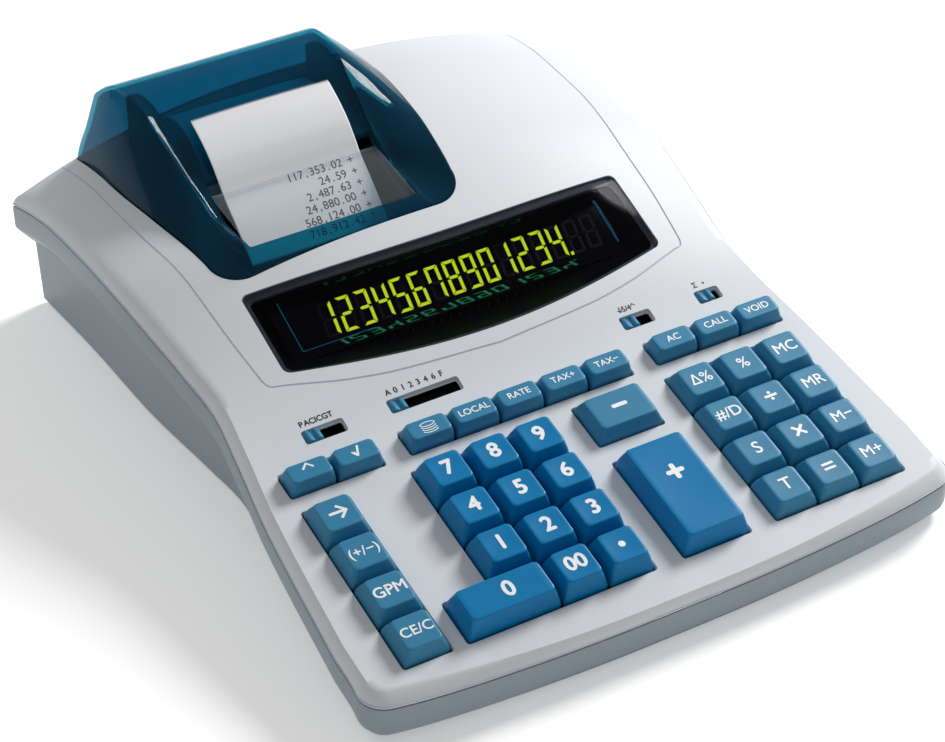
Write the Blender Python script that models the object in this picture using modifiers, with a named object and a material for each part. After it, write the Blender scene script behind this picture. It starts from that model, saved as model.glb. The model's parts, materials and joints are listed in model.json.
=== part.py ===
"""Desk printing calculator: case, keyboard, display, printer and power unit, each piece its own solid.

Frame: metres, +Z up, +X to the right of the person typing, +Y from the front edge to the rear.
The origin is under the middle of the case, on the desk. Run it with blender --background --python part.py
"""
import math

import bmesh
import bpy
import numpy as np
from mathutils import Matrix, Vector

# ---------------------------------------------------------------- driving sizes
CASE_LENGTH = 0.2945            # front rim to the rear face
CASE_WIDTH = 0.2414             # across the rim at the rear, the widest place
FRONT_WIDTH = 0.2380            # across the rim at the front
WAIST_WIDTH = 0.2174            # across the rim behind the keys, the narrowest place
WAIST_FROM_FRONT = 0.141
WALL = 0.0025
CLEARANCE = 0.0003              # between neighbours that touch on the real thing

DECK_SLOPE = math.radians(11.0)
DECK_FRONT_HEIGHT = 0.01851     # the deck's plane carried on to the front rim
DECK_LENGTH = 0.105             # flat part of the top, from the front rim
SHOULDER_OUT = 0.0037           # bevel between the top and the rim, at the sides
SHOULDER_OUT_MIDDLE = 0.0017    # the same at the middle of the front, where it is narrowest
SHOULDER_OUT_CORNER = 0.0048    # and towards the front corners
SHOULDER_DROP = 0.0049
RIM_DEPTH = 0.0105              # upright band under the shoulder
UNDERCUT = 0.0075               # how far the side walls stand in under the rim
UNDERCUT_DROP = 0.0095
FRONT_BOW = 0.0080              # how far the top's front edge bulges at the middle
CORNER_RADIUS = 0.0060          # of the top; the rim's corner is wider by the bevel
BASE_HEIGHT = 0.0015            # underside of the case above the desk
CROWN_POWER = 2.3               # how square the arch across the top is
REAR_SHOULDER_HEIGHT = 0.0541   # shoulder at the rear face
PEAK_SHOULDER_HEIGHT = 0.0618   # shoulder where it stands highest
PEAK_FROM_REAR = 0.068
CROWN_REAR = 0.0214             # rise of the middle over the shoulders
CROWN_PEAK = 0.0205
PANEL_FRONT_CROWN = 0.0058
PANEL_REAR_CROWN = 0.0133

KEY_PITCH = 0.0185
KEY_GAP = 0.0010                # between the feet of neighbouring keys
KEY_TAPER = 0.00225             # each side leans in by this up to the top face
KEY_HEIGHT = 0.0054             # top faces over the deck
TALL_KEY_EXTRA = 0.0023         # figure keys and the plus key stand higher
KEY_SKIRT = 0.0026              # below the deck
KEY_TRAVEL = 0.0028
KEY_ROUND = 0.0008
STEM_WIDTH = 0.0050
WELL_MARGIN = 0.0007            # opening round a block of keys
FIRST_ROW = 0.0062              # middle of the front row behind the deck's reference line
REFERENCE_FROM_FRONT = 0.0180
SMALL_KEY_DEPTH = 0.0099
SMALL_KEY_TAPER = 0.0012
SMALL_ROW = 0.0833
OUTER_COLUMNS_FROM_RIM = 0.0264  # middles of the outermost key columns, in from the front rim
PLUS_WIDTH = 0.0268
PLUS_LENGTH = 0.0468
PLUS_ROW = 0.0207
MINUS_LENGTH = 0.0190
MINUS_ROW = 0.0628
PLUS_COLUMN = 0.0217
FIGURE_COLUMN = -0.0312         # middle column of the figure keys
FUNCTION_COLUMN = -0.0084       # middle key of the five function keys

PRESSED_GAP = 0.0012            # left under a key that is fully pressed
PLATE_THICKNESS = 0.0012
PLATE_DEPTH = KEY_SKIRT + KEY_TRAVEL + PRESSED_GAP
STEM_BELOW_PLATE = 0.0022
STEM_LENGTH = PLATE_DEPTH + PLATE_THICKNESS + STEM_BELOW_PLATE - KEY_SKIRT
BOARD_THICKNESS = 0.0015
BOARD_DEPTH = KEY_SKIRT + STEM_LENGTH + KEY_TRAVEL + PRESSED_GAP / 2
BOARD_MARGIN = 0.0165           # from the rim to the edge of plate and board

SLOT_ROW = 0.1000
SLOT_DEPTH = 0.0053
SLIDER_LENGTH = 0.0064
SLIDER_RISE = 0.0016
SLIDER_FOOT = 0.0012

WINDOW_HALF_WIDTH = 0.0795
WINDOW_FRONT = 0.1309           # front edge at the middle, from the front rim
WINDOW_FRONT_BOW = 0.0110
WINDOW_REAR = 0.1713
WINDOW_REAR_BOW = 0.0056
LENS_THICKNESS = 0.0014
LEDGE_WIDTH = 0.0020
TUBE_WIDTH = 0.142
TUBE_HEIGHT = 0.030
TUBE_THICKNESS = 0.0065
TUBE_DEPTH = 0.0070             # tube face below the lens
TUBE_SETBACK = 0.0145           # middle of the tube behind the middle of the window

PRINTER_CENTRE = -0.0340        # middle of the paper across the case
COVER_FROM_REAR = 0.1120        # front edge of the cover, from the rear face
COVER_HALF_FRONT = 0.0490
COVER_HALF_REAR = 0.0588
COVER_SHIFT_FRONT = 0.0018      # middle of the cover's foot beside the middle of the printer
COVER_SHIFT_REAR = -0.0005
COVER_WALL = 0.0020
COVER_CORNER = 0.0125
ARCH_HALF_FRONT = 0.0362
ARCH_HALF_REAR = 0.0452
ARCH_SHIFT_FRONT = 0.0013       # middle of the dome beside the middle of the printer
ARCH_SHIFT_REAR = -0.0062
SCOOP = 0.0025                  # the dome's front is this much lower between its two ridges
DOME_HEIGHT = 0.1018            # highest line of the cover over the desk
DOME_TOP_FROM_REAR = 0.0290
MOUTH_FROM_REAR = 0.1045        # front edge of the paper opening
MOUTH_LENGTH = 0.0375

TEETH = 24
TEAR_THICKNESS = 0.0012
PAPER_WIDTH = 0.0580
PAPER_THICKNESS = 0.0004
PAPER_ROLL_RADIUS = 0.0225
ROLL_FROM_REAR = 0.0345
ROLL_HEIGHT = 0.0640
ROLL_CORE = 0.0060
PLATEN_RADIUS = 0.0070
PLATEN_FROM_REAR = 0.0905
PLATEN_HEIGHT = 0.0480
INK_RADIUS = 0.0050
AXLE_RADIUS = 0.0020
SIDE_PLATE = 0.0016
PRINTER_FLOOR = 0.0250          # underside of the printer's frame over the desk

TRANSFORMER_SIZE = (0.050, 0.046, 0.040)
INLET_SIZE = (0.0280, 0.0180, 0.0200)
INLET_X = 0.075
POCKET_SIZE = (0.0210, 0.0110, 0.0100)
FOOT_DEPTH = 0.009
POST_RADIUS = 0.0035

FRONT = -CASE_LENGTH / 2
REAR = CASE_LENGTH / 2


def material(name, colour, roughness, metallic=0.0):
    """A plain Principled material with the piece's colour."""
    made = bpy.data.materials.new(name)
    made.use_nodes = True
    shader = made.node_tree.nodes["Principled BSDF"]
    shader.inputs["Base Color"].default_value = (*colour, 1.0)
    shader.inputs["Roughness"].default_value = roughness
    shader.inputs["Metallic"].default_value = metallic
    return made


def new_collection(name, hidden=False):
    made = bpy.data.collections.new(name)
    made.hide_render = hidden
    bpy.context.scene.collection.children.link(made)
    return made


for old in list(bpy.data.objects):
    bpy.data.objects.remove(old)
PARTS = new_collection("desk_calculator")
CUTTERS = new_collection("cutters", hidden=True)

WHITE = material("case_white", (0.66, 0.68, 0.71), 0.42)
GREY = material("base_grey", (0.36, 0.41, 0.44), 0.50)
BRIGHT = material("figure_key_blue", (0.005, 0.175, 0.42), 0.38)
MUTED = material("function_key_blue", (0.055, 0.225, 0.38), 0.42)
SMOKE = material("smoked_blue", (0.01, 0.08, 0.14), 0.12)
LENS = material("display_smoke", (0.01, 0.01, 0.02), 0.08)
GLASS = material("tube_glass", (0.03, 0.05, 0.05), 0.10)
CLEAR = material("clear_plastic", (0.72, 0.78, 0.80), 0.10)
PAPER = material("paper", (0.86, 0.86, 0.88), 0.85)
RUBBER = material("rubber", (0.03, 0.03, 0.03), 0.80)
BLACK = material("black_plastic", (0.03, 0.03, 0.035), 0.50)
BOARD = material("board_green", (0.03, 0.16, 0.07), 0.45)
STEEL = material("steel", (0.55, 0.56, 0.58), 0.35, 0.9)
INK = material("ink_felt", (0.06, 0.02, 0.10), 0.90)


# ---------------------------------------------------------------- shape of the case
def monotone(points):
    """A smooth curve through (x, y) points that never overshoots them, as a function of x."""
    xs, ys = np.array(sorted(points)).T
    steps = np.diff(xs)
    slopes = np.diff(ys) / steps
    tangents = np.zeros_like(ys)
    for i in range(1, len(xs) - 1):
        if slopes[i - 1] * slopes[i] > 0:
            first = 2 * steps[i] + steps[i - 1]
            second = steps[i] + 2 * steps[i - 1]
            tangents[i] = (first + second) / (first / slopes[i - 1] + second / slopes[i])
    tangents[0] = slopes[0]
    tangents[-1] = slopes[-1]

    def value(x):
        x = min(max(x, xs[0]), xs[-1])
        i = min(int(np.searchsorted(xs, x, side="right")) - 1, len(steps) - 1)
        t = (x - xs[i]) / steps[i]
        return float((1 + 2 * t) * (1 - t) ** 2 * ys[i] + t * (1 - t) ** 2 * steps[i] * tangents[i]
                     + t * t * (3 - 2 * t) * ys[i + 1] + t * t * (t - 1) * steps[i] * tangents[i + 1])
    return value


def deck_height(y):
    """The keyboard's plane at a distance y behind the middle of the case."""
    return DECK_FRONT_HEIGHT + math.tan(DECK_SLOPE) * (y - FRONT)


def half(width):
    return width / 2 - SHOULDER_OUT


DECK_REAR = FRONT + DECK_LENGTH
WAIST = FRONT + WAIST_FROM_FRONT
PEAK = REAR - PEAK_FROM_REAR
WAIST_RISE = 0.0026
SIDE = monotone([
    (FRONT + 0.033, half(FRONT_WIDTH)), (FRONT + 0.090, half(FRONT_WIDTH) - 0.0045),
    (WAIST - 0.021, half(WAIST_WIDTH) + 0.0019), (WAIST, half(WAIST_WIDTH)),
    (WAIST + 0.022, half(WAIST_WIDTH) + 0.0021), (WAIST + 0.066, half(WAIST_WIDTH) + 0.0068),
    (REAR - 0.044, half(CASE_WIDTH) - 0.0033), (REAR, half(CASE_WIDTH))])
SHOULDER = monotone([
    (FRONT, deck_height(FRONT)), (DECK_REAR, deck_height(DECK_REAR)),
    (WAIST + 0.006, deck_height(WAIST + 0.006) + WAIST_RISE), (PEAK - 0.048, PEAK_SHOULDER_HEIGHT - 0.0053),
    (PEAK - 0.020, PEAK_SHOULDER_HEIGHT - 0.0007), (PEAK, PEAK_SHOULDER_HEIGHT),
    (PEAK + 0.022, PEAK_SHOULDER_HEIGHT - 0.0006), (PEAK + 0.037, PEAK_SHOULDER_HEIGHT - 0.0012),
    (REAR - 0.016, REAR_SHOULDER_HEIGHT + 0.0041), (REAR, REAR_SHOULDER_HEIGHT)])
CROWN = monotone([
    (FRONT, 0.0), (DECK_REAR, 0.0), (WAIST, PANEL_FRONT_CROWN), (WAIST + 0.036, PANEL_REAR_CROWN),
    (PEAK - 0.015, CROWN_PEAK - 0.0025), (PEAK + 0.022, CROWN_PEAK), (REAR, CROWN_REAR)])


def top_height(x, y):
    """Height of the case's top over the desk."""
    across = min(abs(x) / SIDE(y), 1.0)
    return SHOULDER(y) + CROWN(y) * (1 - across ** CROWN_POWER)


def deck(across, back, up=0.0):
    """A point given across and along the sloping deck, from the keyboard's reference line."""
    y = FRONT + REFERENCE_FROM_FRONT + back * math.cos(DECK_SLOPE) - up * math.sin(DECK_SLOPE)
    z = deck_height(FRONT + REFERENCE_FROM_FRONT) + back * math.sin(DECK_SLOPE) + up * math.cos(DECK_SLOPE)
    return Vector((across, y, z))


DECK_TURN = Matrix.Rotation(DECK_SLOPE, 4, "X")


# ---------------------------------------------------------------- modelling helpers
def add_object(name, mesh, coat, collection=PARTS):
    made = bpy.data.objects.new(name, mesh)
    if coat is not None:
        mesh.materials.append(coat)
    collection.objects.link(made)
    if collection is CUTTERS:
        made.hide_render = True
        made.display_type = "WIRE"
    return made


def finish_mesh(name, bm, coat, collection=PARTS, smooth=True):
    bmesh.ops.recalc_face_normals(bm, faces=bm.faces)
    mesh = bpy.data.meshes.new(name)
    bm.to_mesh(mesh)
    bm.free()
    if smooth:
        mesh.shade_smooth()
        mesh.set_sharp_from_angle(angle=math.radians(35))
    return add_object(name, mesh, coat, collection)


def block(bm, size, at, turn=None):
    """A box of the given size about the point at, turned about its own middle."""
    turn = turn if turn is not None else Matrix.Identity(4)
    matrix = Matrix.Translation(at) @ turn @ Matrix.Diagonal((*size, 1.0))
    return bmesh.ops.create_cube(bm, size=1.0, matrix=matrix)["verts"]


def box_object(name, size, at, coat, turn=None, collection=PARTS, bevel=0.0):
    bm = bmesh.new()
    block(bm, size, at, turn)
    made = finish_mesh(name, bm, coat, collection, smooth=False)
    if bevel:
        soften = made.modifiers.new("round_edges", "BEVEL")
        soften.width = bevel
        soften.segments = 2
        soften.limit_method = "ANGLE"
    return made


def rod(bm, radius, length, at, axis="X", sides=24):
    """A closed cylinder about the point at."""
    turn = Matrix.Rotation(math.pi / 2, 4, "Y") if axis == "X" else Matrix.Identity(4)
    return bmesh.ops.create_cone(bm, cap_ends=True, segments=sides, radius1=radius, radius2=radius,
                                 depth=length, matrix=Matrix.Translation(at) @ turn)["verts"]


def combine(target, tool, operation):
    step = target.modifiers.new(operation.lower(), "BOOLEAN")
    step.operation = operation
    step.object = tool
    step.solver = "EXACT"


# ---------------------------------------------------------------- case shells
ACROSS = 12                     # divisions of the top across the case
BOW_STEPS = 5
CORNER_STEPS = 6
SIDE_STEPS = 24
MIDDLE_HALF = 0.014             # half width of the flat middle of the front edge


def front_edge(x):
    """The bowed front line of the top, for a distance x from the middle."""
    reach = half(FRONT_WIDTH) - 0.0095
    return FRONT + SHOULDER_OUT_MIDDLE + FRONT_BOW * ((x - MIDDLE_HALF) / (reach - MIDDLE_HALF)) ** 2


def half_outline():
    """Right half of the shoulder line, from the middle of the front to the rear, with outward normals."""
    reach = half(FRONT_WIDTH)
    centre_x = reach - CORNER_RADIUS
    lean = math.atan((front_edge(centre_x) - front_edge(centre_x - 0.001)) / 0.001)
    touch_x = centre_x + CORNER_RADIUS * math.sin(lean)
    centre_y = front_edge(touch_x) + CORNER_RADIUS * math.cos(lean)
    points = []
    for i in range(BOW_STEPS):
        x = MIDDLE_HALF + (touch_x - MIDDLE_HALF) * i / BOW_STEPS
        points.append(Vector((x, front_edge(x))))
    for i in range(CORNER_STEPS + 1):
        turn = lean + (math.pi / 2 - lean) * i / CORNER_STEPS
        points.append(Vector((centre_x + CORNER_RADIUS * math.sin(turn),
                              centre_y - CORNER_RADIUS * math.cos(turn))))
    for i in range(1, SIDE_STEPS + 1):
        y = centre_y + (REAR - centre_y) * i / SIDE_STEPS
        points.append(Vector((SIDE(y), y)))
    normals = []
    for i in range(len(points)):
        along = points[min(i + 1, len(points) - 1)] - points[max(i - 1, 0)]
        normals.append(Vector((along.y, -along.x)).normalized())
    normals[0] = Vector((0.0, -1.0))
    normals[-1] = Vector((1.0, 0.0))
    return points, normals


OUTLINE, OUTLINE_NORMALS = half_outline()
CORNER_LINE = front_edge(half(FRONT_WIDTH) - CORNER_RADIUS)
SHOULDER_SPREAD = monotone([
    (FRONT + SHOULDER_OUT_MIDDLE, SHOULDER_OUT_MIDDLE), (CORNER_LINE, SHOULDER_OUT_CORNER),
    (CORNER_LINE + 2 * CORNER_RADIUS, SHOULDER_OUT), (REAR, SHOULDER_OUT)])


def ring(outward, height, rear_inset=0.0, arched=None):
    """A closed loop of points round the case.

    outward is the distance from the shoulder line, as a function of y; height is the same for its height.
    arched, where it is given, is the height over x and y of the loop's rear and front rungs.
    """
    right = []
    for point, normal in zip(OUTLINE, OUTLINE_NORMALS):
        x = point.x + normal.x * outward(point.y)
        y = min(point.y + normal.y * outward(point.y), REAR - rear_inset)
        right.append(Vector((x, y, height(point.y))))
    shares = [2 * j / ACROSS - 1 for j in range(1, ACROSS)]

    def rung(end):
        middle = []
        for share in shares:
            z = arched(end.x * share, end.y) if arched else end.z
            middle.append(Vector((end.x * share, end.y, z)))
        return middle
    left = [Vector((-p.x, p.y, p.z)) for p in reversed(right)]
    return right + list(reversed(rung(right[-1]))) + left + rung(right[0])


def cover_ring(bm, verts, surface):
    """Closes a ring with a grid of faces between its two sides, at the height that surface gives."""
    count = len(OUTLINE)
    rear = list(reversed(verts[count:count + ACROSS - 1]))
    left = list(reversed(verts[count + ACROSS - 1:2 * count + ACROSS - 1]))
    front = verts[2 * count + ACROSS - 1:]
    rungs = []
    for k in range(count):
        if k == 0:
            middle = front
        elif k == count - 1:
            middle = rear
        else:
            start, end = left[k].co, verts[k].co
            middle = []
            for j in range(1, ACROSS):
                x = start.x + (end.x - start.x) * j / ACROSS
                middle.append(bm.verts.new((x, start.y, surface(x, start.y))))
        rungs.append([left[k], *middle, verts[k]])
    for low, high in zip(rungs, rungs[1:]):
        for j in range(ACROSS):
            bm.faces.new((low[j], low[j + 1], high[j + 1], high[j]))


def shell(name, rings, first_surface, last_surface, coat):
    """A closed solid skinned over rings, with a grid over the first ring and over the last."""
    bm = bmesh.new()
    loops = [[bm.verts.new(p) for p in points] for points in rings]
    for upper, lower in zip(loops, loops[1:]):
        for i in range(len(upper)):
            n = (i + 1) % len(upper)
            bm.faces.new((upper[i], lower[i], lower[n], upper[n]))
    cover_ring(bm, loops[0], first_surface)
    cover_ring(bm, loops[-1], last_surface)
    return finish_mesh(name, bm, coat)


def parting(y):
    return SHOULDER(y) - SHOULDER_DROP


def rim_bottom(y):
    return parting(y) - RIM_DEPTH


def undercut_share(y):
    """How much of the full undercut there is room for above the base."""
    room = rim_bottom(y) - BASE_HEIGHT - 0.0006
    return min(1.0, max(0.1, room / UNDERCUT_DROP))


def wall_top(y):
    return rim_bottom(y) - undercut_share(y) * UNDERCUT_DROP


def wall_out(y):
    return SHOULDER_SPREAD(y) - undercut_share(y) * UNDERCUT


def inner_top(x, y):
    return top_height(x, y) - WALL


def top_case():
    rings = [
        ring(lambda y: 0.0, SHOULDER, arched=top_height),
        ring(SHOULDER_SPREAD, lambda y: parting(y) + CLEARANCE / 2),
        ring(lambda y: SHOULDER_SPREAD(y) - WALL, lambda y: parting(y) + CLEARANCE / 2, rear_inset=WALL),
        ring(lambda y: -WALL, lambda y: SHOULDER(y) - WALL, rear_inset=WALL, arched=inner_top)]
    return shell("top_case", rings, top_height, inner_top, WHITE)


def bottom_case():
    floor = BASE_HEIGHT + WALL
    rings = [
        ring(lambda y: wall_out(y) - 0.0013 * undercut_share(y), lambda y: BASE_HEIGHT),
        ring(wall_out, wall_top),
        ring(lambda y: SHOULDER_SPREAD(y) - 0.0003, rim_bottom),
        ring(SHOULDER_SPREAD, lambda y: parting(y) - CLEARANCE / 2),
        ring(lambda y: SHOULDER_SPREAD(y) - WALL, lambda y: parting(y) - CLEARANCE / 2, rear_inset=WALL),
        ring(lambda y: SHOULDER_SPREAD(y) - WALL, lambda y: rim_bottom(y) + 0.0015, rear_inset=WALL),
        ring(lambda y: wall_out(y) - WALL, lambda y: max(wall_top(y) + 0.0012, floor + 0.0004), rear_inset=WALL),
        ring(lambda y: wall_out(y) - WALL - 0.0013, lambda y: floor, rear_inset=WALL)]
    return shell("bottom_case", rings, lambda x, y: BASE_HEIGHT, lambda x, y: floor, GREY)


# ---------------------------------------------------------------- keys
OUTER_COLUMN = FRONT_WIDTH / 2 - OUTER_COLUMNS_FROM_RIM
ROWS = [FIRST_ROW + KEY_PITCH * i for i in range(4)]


class Key:
    """One key: its name, where its middle is on the deck, its foot's size, and whether it is a tall bright one."""

    def __init__(self, name, across, back, width=KEY_PITCH - KEY_GAP, depth=KEY_PITCH - KEY_GAP, tall=False,
                 taper=KEY_TAPER):
        self.name = name
        self.across = across
        self.back = back
        self.width = width
        self.depth = depth
        self.tall = tall
        self.taper = taper


def key_list():
    keys = []
    columns = [FIGURE_COLUMN + KEY_PITCH * i for i in (-1, 0, 1)]
    for row, digits in zip(ROWS[1:], ((1, 2, 3), (4, 5, 6), (7, 8, 9))):
        for across, digit in zip(columns, digits):
            keys.append(Key(f"key_{digit}", across, row, tall=True))
    wide = 2 * KEY_PITCH - KEY_GAP
    keys.append(Key("key_0", columns[0] - KEY_PITCH / 2, ROWS[0], width=wide, tall=True))
    keys.append(Key("key_00", columns[1], ROWS[0], tall=True))
    keys.append(Key("key_point", columns[2], ROWS[0], tall=True))
    keys.append(Key("key_plus", PLUS_COLUMN, PLUS_ROW, PLUS_WIDTH, PLUS_LENGTH, tall=True))
    keys.append(Key("key_minus", PLUS_COLUMN, MINUS_ROW, PLUS_WIDTH, MINUS_LENGTH))
    for name, row in zip(("clear", "gpm", "sign_change", "backspace"), ROWS):
        keys.append(Key(f"key_{name}", -OUTER_COLUMN, row))
    block_names = (("subtotal_t", "equals", "memory_plus"), ("subtotal_s", "times", "memory_minus"),
                   ("date", "divide", "memory_recall"), ("delta_percent", "percent", "memory_clear"))
    for row, names in zip(ROWS, block_names):
        for i, name in enumerate(names):
            keys.append(Key(f"key_{name}", OUTER_COLUMN - KEY_PITCH * (2 - i), row))
    small = {"depth": SMALL_KEY_DEPTH, "taper": SMALL_KEY_TAPER}
    for i, name in enumerate(("paper_feed", "root")):
        keys.append(Key(f"key_{name}", -OUTER_COLUMN + KEY_PITCH * i, SMALL_ROW, **small))
    for i, name in enumerate(("coins", "local", "rate", "tax_plus", "tax_minus")):
        keys.append(Key(f"key_{name}", FUNCTION_COLUMN + KEY_PITCH * (i - 2), SMALL_ROW, **small))
    for i, name in enumerate(("all_clear", "call", "void")):
        keys.append(Key(f"key_{name}", OUTER_COLUMN - KEY_PITCH * (2 - i) + 0.0019, SMALL_ROW, **small))
    return keys


KEYS = key_list()


def key_object(key):
    """A key whose origin is its middle on the deck, turned with the deck: skirt, tapered cap and stem."""
    bm = bmesh.new()
    height = KEY_HEIGHT + (TALL_KEY_EXTRA if key.tall else 0.0)
    block(bm, (key.width, key.depth, KEY_SKIRT), Vector((0, 0, -KEY_SKIRT / 2)))
    cap = max(bm.faces, key=lambda f: f.calc_center_median().z)
    cap = bmesh.ops.extrude_face_region(bm, geom=[cap])["geom"]
    raised = [v for v in cap if isinstance(v, bmesh.types.BMVert)]
    for v in raised:
        v.co.z = height
        v.co.x -= math.copysign(key.taper, v.co.x)
        v.co.y -= math.copysign(key.taper, v.co.y)
    bm.normal_update()
    for face in [f for f in bm.faces if abs(f.normal.z) > 0.9 and abs(f.calc_center_median().z) < 1e-7]:
        bmesh.ops.delete(bm, geom=[face], context="FACES_ONLY")
    rim = [e for e in bm.edges if all(v.co.z > -1e-7 for v in e.verts)
           and not all(abs(v.co.z) < 1e-7 for v in e.verts)]
    bmesh.ops.bevel(bm, geom=rim, offset=KEY_ROUND, segments=1, affect="EDGES", clamp_overlap=True)
    bm.normal_update()
    foot = min(bm.faces, key=lambda f: f.calc_center_median().z)
    shoulder = bmesh.ops.extrude_face_region(bm, geom=[foot])["geom"]
    ring_verts = [v for v in shoulder if isinstance(v, bmesh.types.BMVert)]
    for v in ring_verts:
        v.co.x = math.copysign(STEM_WIDTH / 2, v.co.x)
        v.co.y = math.copysign(STEM_WIDTH / 2, v.co.y)
    bmesh.ops.delete(bm, geom=[foot], context="FACES_ONLY")
    bm.normal_update()
    sole = [f for f in bm.faces if f.normal.z < -0.9 and all(v in ring_verts for v in f.verts)]
    stem = bmesh.ops.extrude_face_region(bm, geom=sole)["geom"]
    for v in stem:
        if isinstance(v, bmesh.types.BMVert):
            v.co.z = -KEY_SKIRT - STEM_LENGTH
    bmesh.ops.delete(bm, geom=sole, context="FACES_ONLY")
    made = finish_mesh(key.name, bm, BRIGHT if key.tall else MUTED, smooth=False)
    made.matrix_world = Matrix.Translation(deck(key.across, key.back)) @ DECK_TURN
    return made


def well_boxes():
    """Openings in the deck, as (across, back, width, depth), each a block of keys with its margin."""
    def around(names):
        members = [k for k in KEYS if k.name in names]
        left = min(k.across - k.width / 2 for k in members) - WELL_MARGIN
        right = max(k.across + k.width / 2 for k in members) + WELL_MARGIN
        low = min(k.back - k.depth / 2 for k in members) - WELL_MARGIN
        high = max(k.back + k.depth / 2 for k in members) + WELL_MARGIN
        return ((left + right) / 2, (low + high) / 2, right - left, high - low)
    figures = [f"key_{d}" for d in range(1, 10)]
    groups = [
        figures, ["key_plus"], ["key_minus"],
        [k.name for k in KEYS if k.across == -OUTER_COLUMN and k.back in ROWS],
        [k.name for k in KEYS if k.across > OUTER_COLUMN - 2.5 * KEY_PITCH and k.back in ROWS],
        ["key_paper_feed", "key_root"], ["key_all_clear", "key_call", "key_void"],
        ["key_coins", "key_local", "key_rate", "key_tax_plus", "key_tax_minus"]]
    return [around(g) for g in groups], around(["key_0", "key_00", "key_point"])


def deck_cutter(name, boxes, top, bottom):
    """Boxes set in the deck, from a height over it to a depth under it, as one cutter."""
    bm = bmesh.new()
    for across, back, width, depth in boxes:
        middle = deck(across, back, (top + bottom) / 2)
        block(bm, (width, depth, top - bottom), middle, DECK_TURN)
    return finish_mesh(name, bm, None, CUTTERS, smooth=False)


# ---------------------------------------------------------------- slide switches
SLIDERS = (                     # name, slot's left end and length along the deck
    ("slider_print", -0.0856, 0.0160), ("slider_decimal", -0.0516, 0.0288),
    ("slider_rounding", 0.0463, 0.0129), ("slider_total", 0.0795, 0.0099))


def slider_object(name, left):
    """A slide switch at the left end of its slot: grooved knob, neck through the slot and foot under it."""
    bm = bmesh.new()
    width = SLOT_DEPTH - 2 * CLEARANCE
    under = -WALL - CLEARANCE
    groove = 0.0012
    lift = 0.0009
    outline = [
        (-SLIDER_LENGTH / 2, under - SLIDER_FOOT), (SLIDER_LENGTH / 2, under - SLIDER_FOOT),
        (SLIDER_LENGTH / 2, SLIDER_RISE - lift), (SLIDER_LENGTH / 2 - lift, SLIDER_RISE),
        (groove, SLIDER_RISE), (groove / 2, SLIDER_RISE - lift), (-groove / 2, SLIDER_RISE - lift),
        (-groove, SLIDER_RISE), (-SLIDER_LENGTH / 2 + lift, SLIDER_RISE), (-SLIDER_LENGTH / 2, SLIDER_RISE - lift)]
    face = bm.faces.new([bm.verts.new((x, -width / 2, z)) for x, z in outline])
    swept = bmesh.ops.extrude_face_region(bm, geom=[face])["geom"]
    for v in swept:
        if isinstance(v, bmesh.types.BMVert):
            v.co.y = width / 2
    made = finish_mesh(name, bm, MUTED, smooth=False)
    across = left + CLEARANCE + SLIDER_LENGTH / 2
    made.matrix_world = Matrix.Translation(deck(across, SLOT_ROW)) @ DECK_TURN
    return made


# ---------------------------------------------------------------- display
def window_front(x, grow=0.0):
    return FRONT + WINDOW_FRONT + WINDOW_FRONT_BOW * (x / WINDOW_HALF_WIDTH) ** 2 - grow


def window_rear(x, grow=0.0):
    return FRONT + WINDOW_REAR + WINDOW_REAR_BOW * (x / WINDOW_HALF_WIDTH) ** 2 + grow


def window_plate(name, grow, top, bottom, coat, collection=PARTS):
    """The window's outline, grown by a margin, between two heights over the case's own top surface."""
    steps_x, steps_y = 18, 5
    bm = bmesh.new()
    layers = []
    reach = WINDOW_HALF_WIDTH + grow
    for rise in (top, bottom):
        layer = []
        for i in range(steps_x + 1):
            x = reach * (2 * i / steps_x - 1)
            low, high = window_front(x, grow), window_rear(x, grow)
            ys = [low + (high - low) * j / steps_y for j in range(steps_y + 1)]
            layer.append([bm.verts.new((x, y, top_height(x, y) + rise)) for y in ys])
        layers.append(layer)
    for layer in layers:
        for i in range(steps_x):
            for j in range(steps_y):
                bm.faces.new((layer[i][j], layer[i + 1][j], layer[i + 1][j + 1], layer[i][j + 1]))
    border = [(i, 0) for i in range(steps_x)] + [(steps_x, j) for j in range(steps_y)]
    border += [(i, steps_y) for i in range(steps_x, 0, -1)] + [(0, j) for j in range(steps_y, 0, -1)]
    for (a, b), (c, d) in zip(border, border[1:] + border[:1]):
        bm.faces.new((layers[0][a][b], layers[0][c][d], layers[1][c][d], layers[1][a][b]))
    return finish_mesh(name, bm, coat, collection)


def display_tube():
    """The flat glass display tube, lying under the window at the panel's own slope."""
    front, rear = window_front(0.0), window_rear(0.0)
    rise = top_height(WINDOW_HALF_WIDTH / 2, rear) - top_height(WINDOW_HALF_WIDTH / 2, front)
    slope = math.atan(rise / (rear - front))
    middle = Vector((0.0, (front + rear) / 2 + TUBE_SETBACK, 0.0))
    middle.z = top_height(WINDOW_HALF_WIDTH, middle.y) - TUBE_DEPTH - TUBE_THICKNESS / 2
    turn = Matrix.Rotation(slope, 4, "X")
    return box_object("display_tube", (TUBE_WIDTH, TUBE_HEIGHT, TUBE_THICKNESS), middle, GLASS, turn, bevel=0.0008)


# ---------------------------------------------------------------- printer cover
COVER_FRONT = REAR - COVER_FROM_REAR
COVER_REAR = REAR - WALL - 2 * CLEARANCE
MOUTH_FRONT = REAR - MOUTH_FROM_REAR
MOUTH_REAR = MOUTH_FRONT + MOUTH_LENGTH
DOME_TOP = REAR - DOME_TOP_FROM_REAR
HINGE_Y = COVER_REAR
HINGE_Z = top_height(0.0, REAR) + 0.0010
FOOT_SPREAD = monotone([(0.0, 0.0), (0.22, 0.38), (0.43, 0.72), (0.77, 1.0), (1.0, 1.0)])


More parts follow.
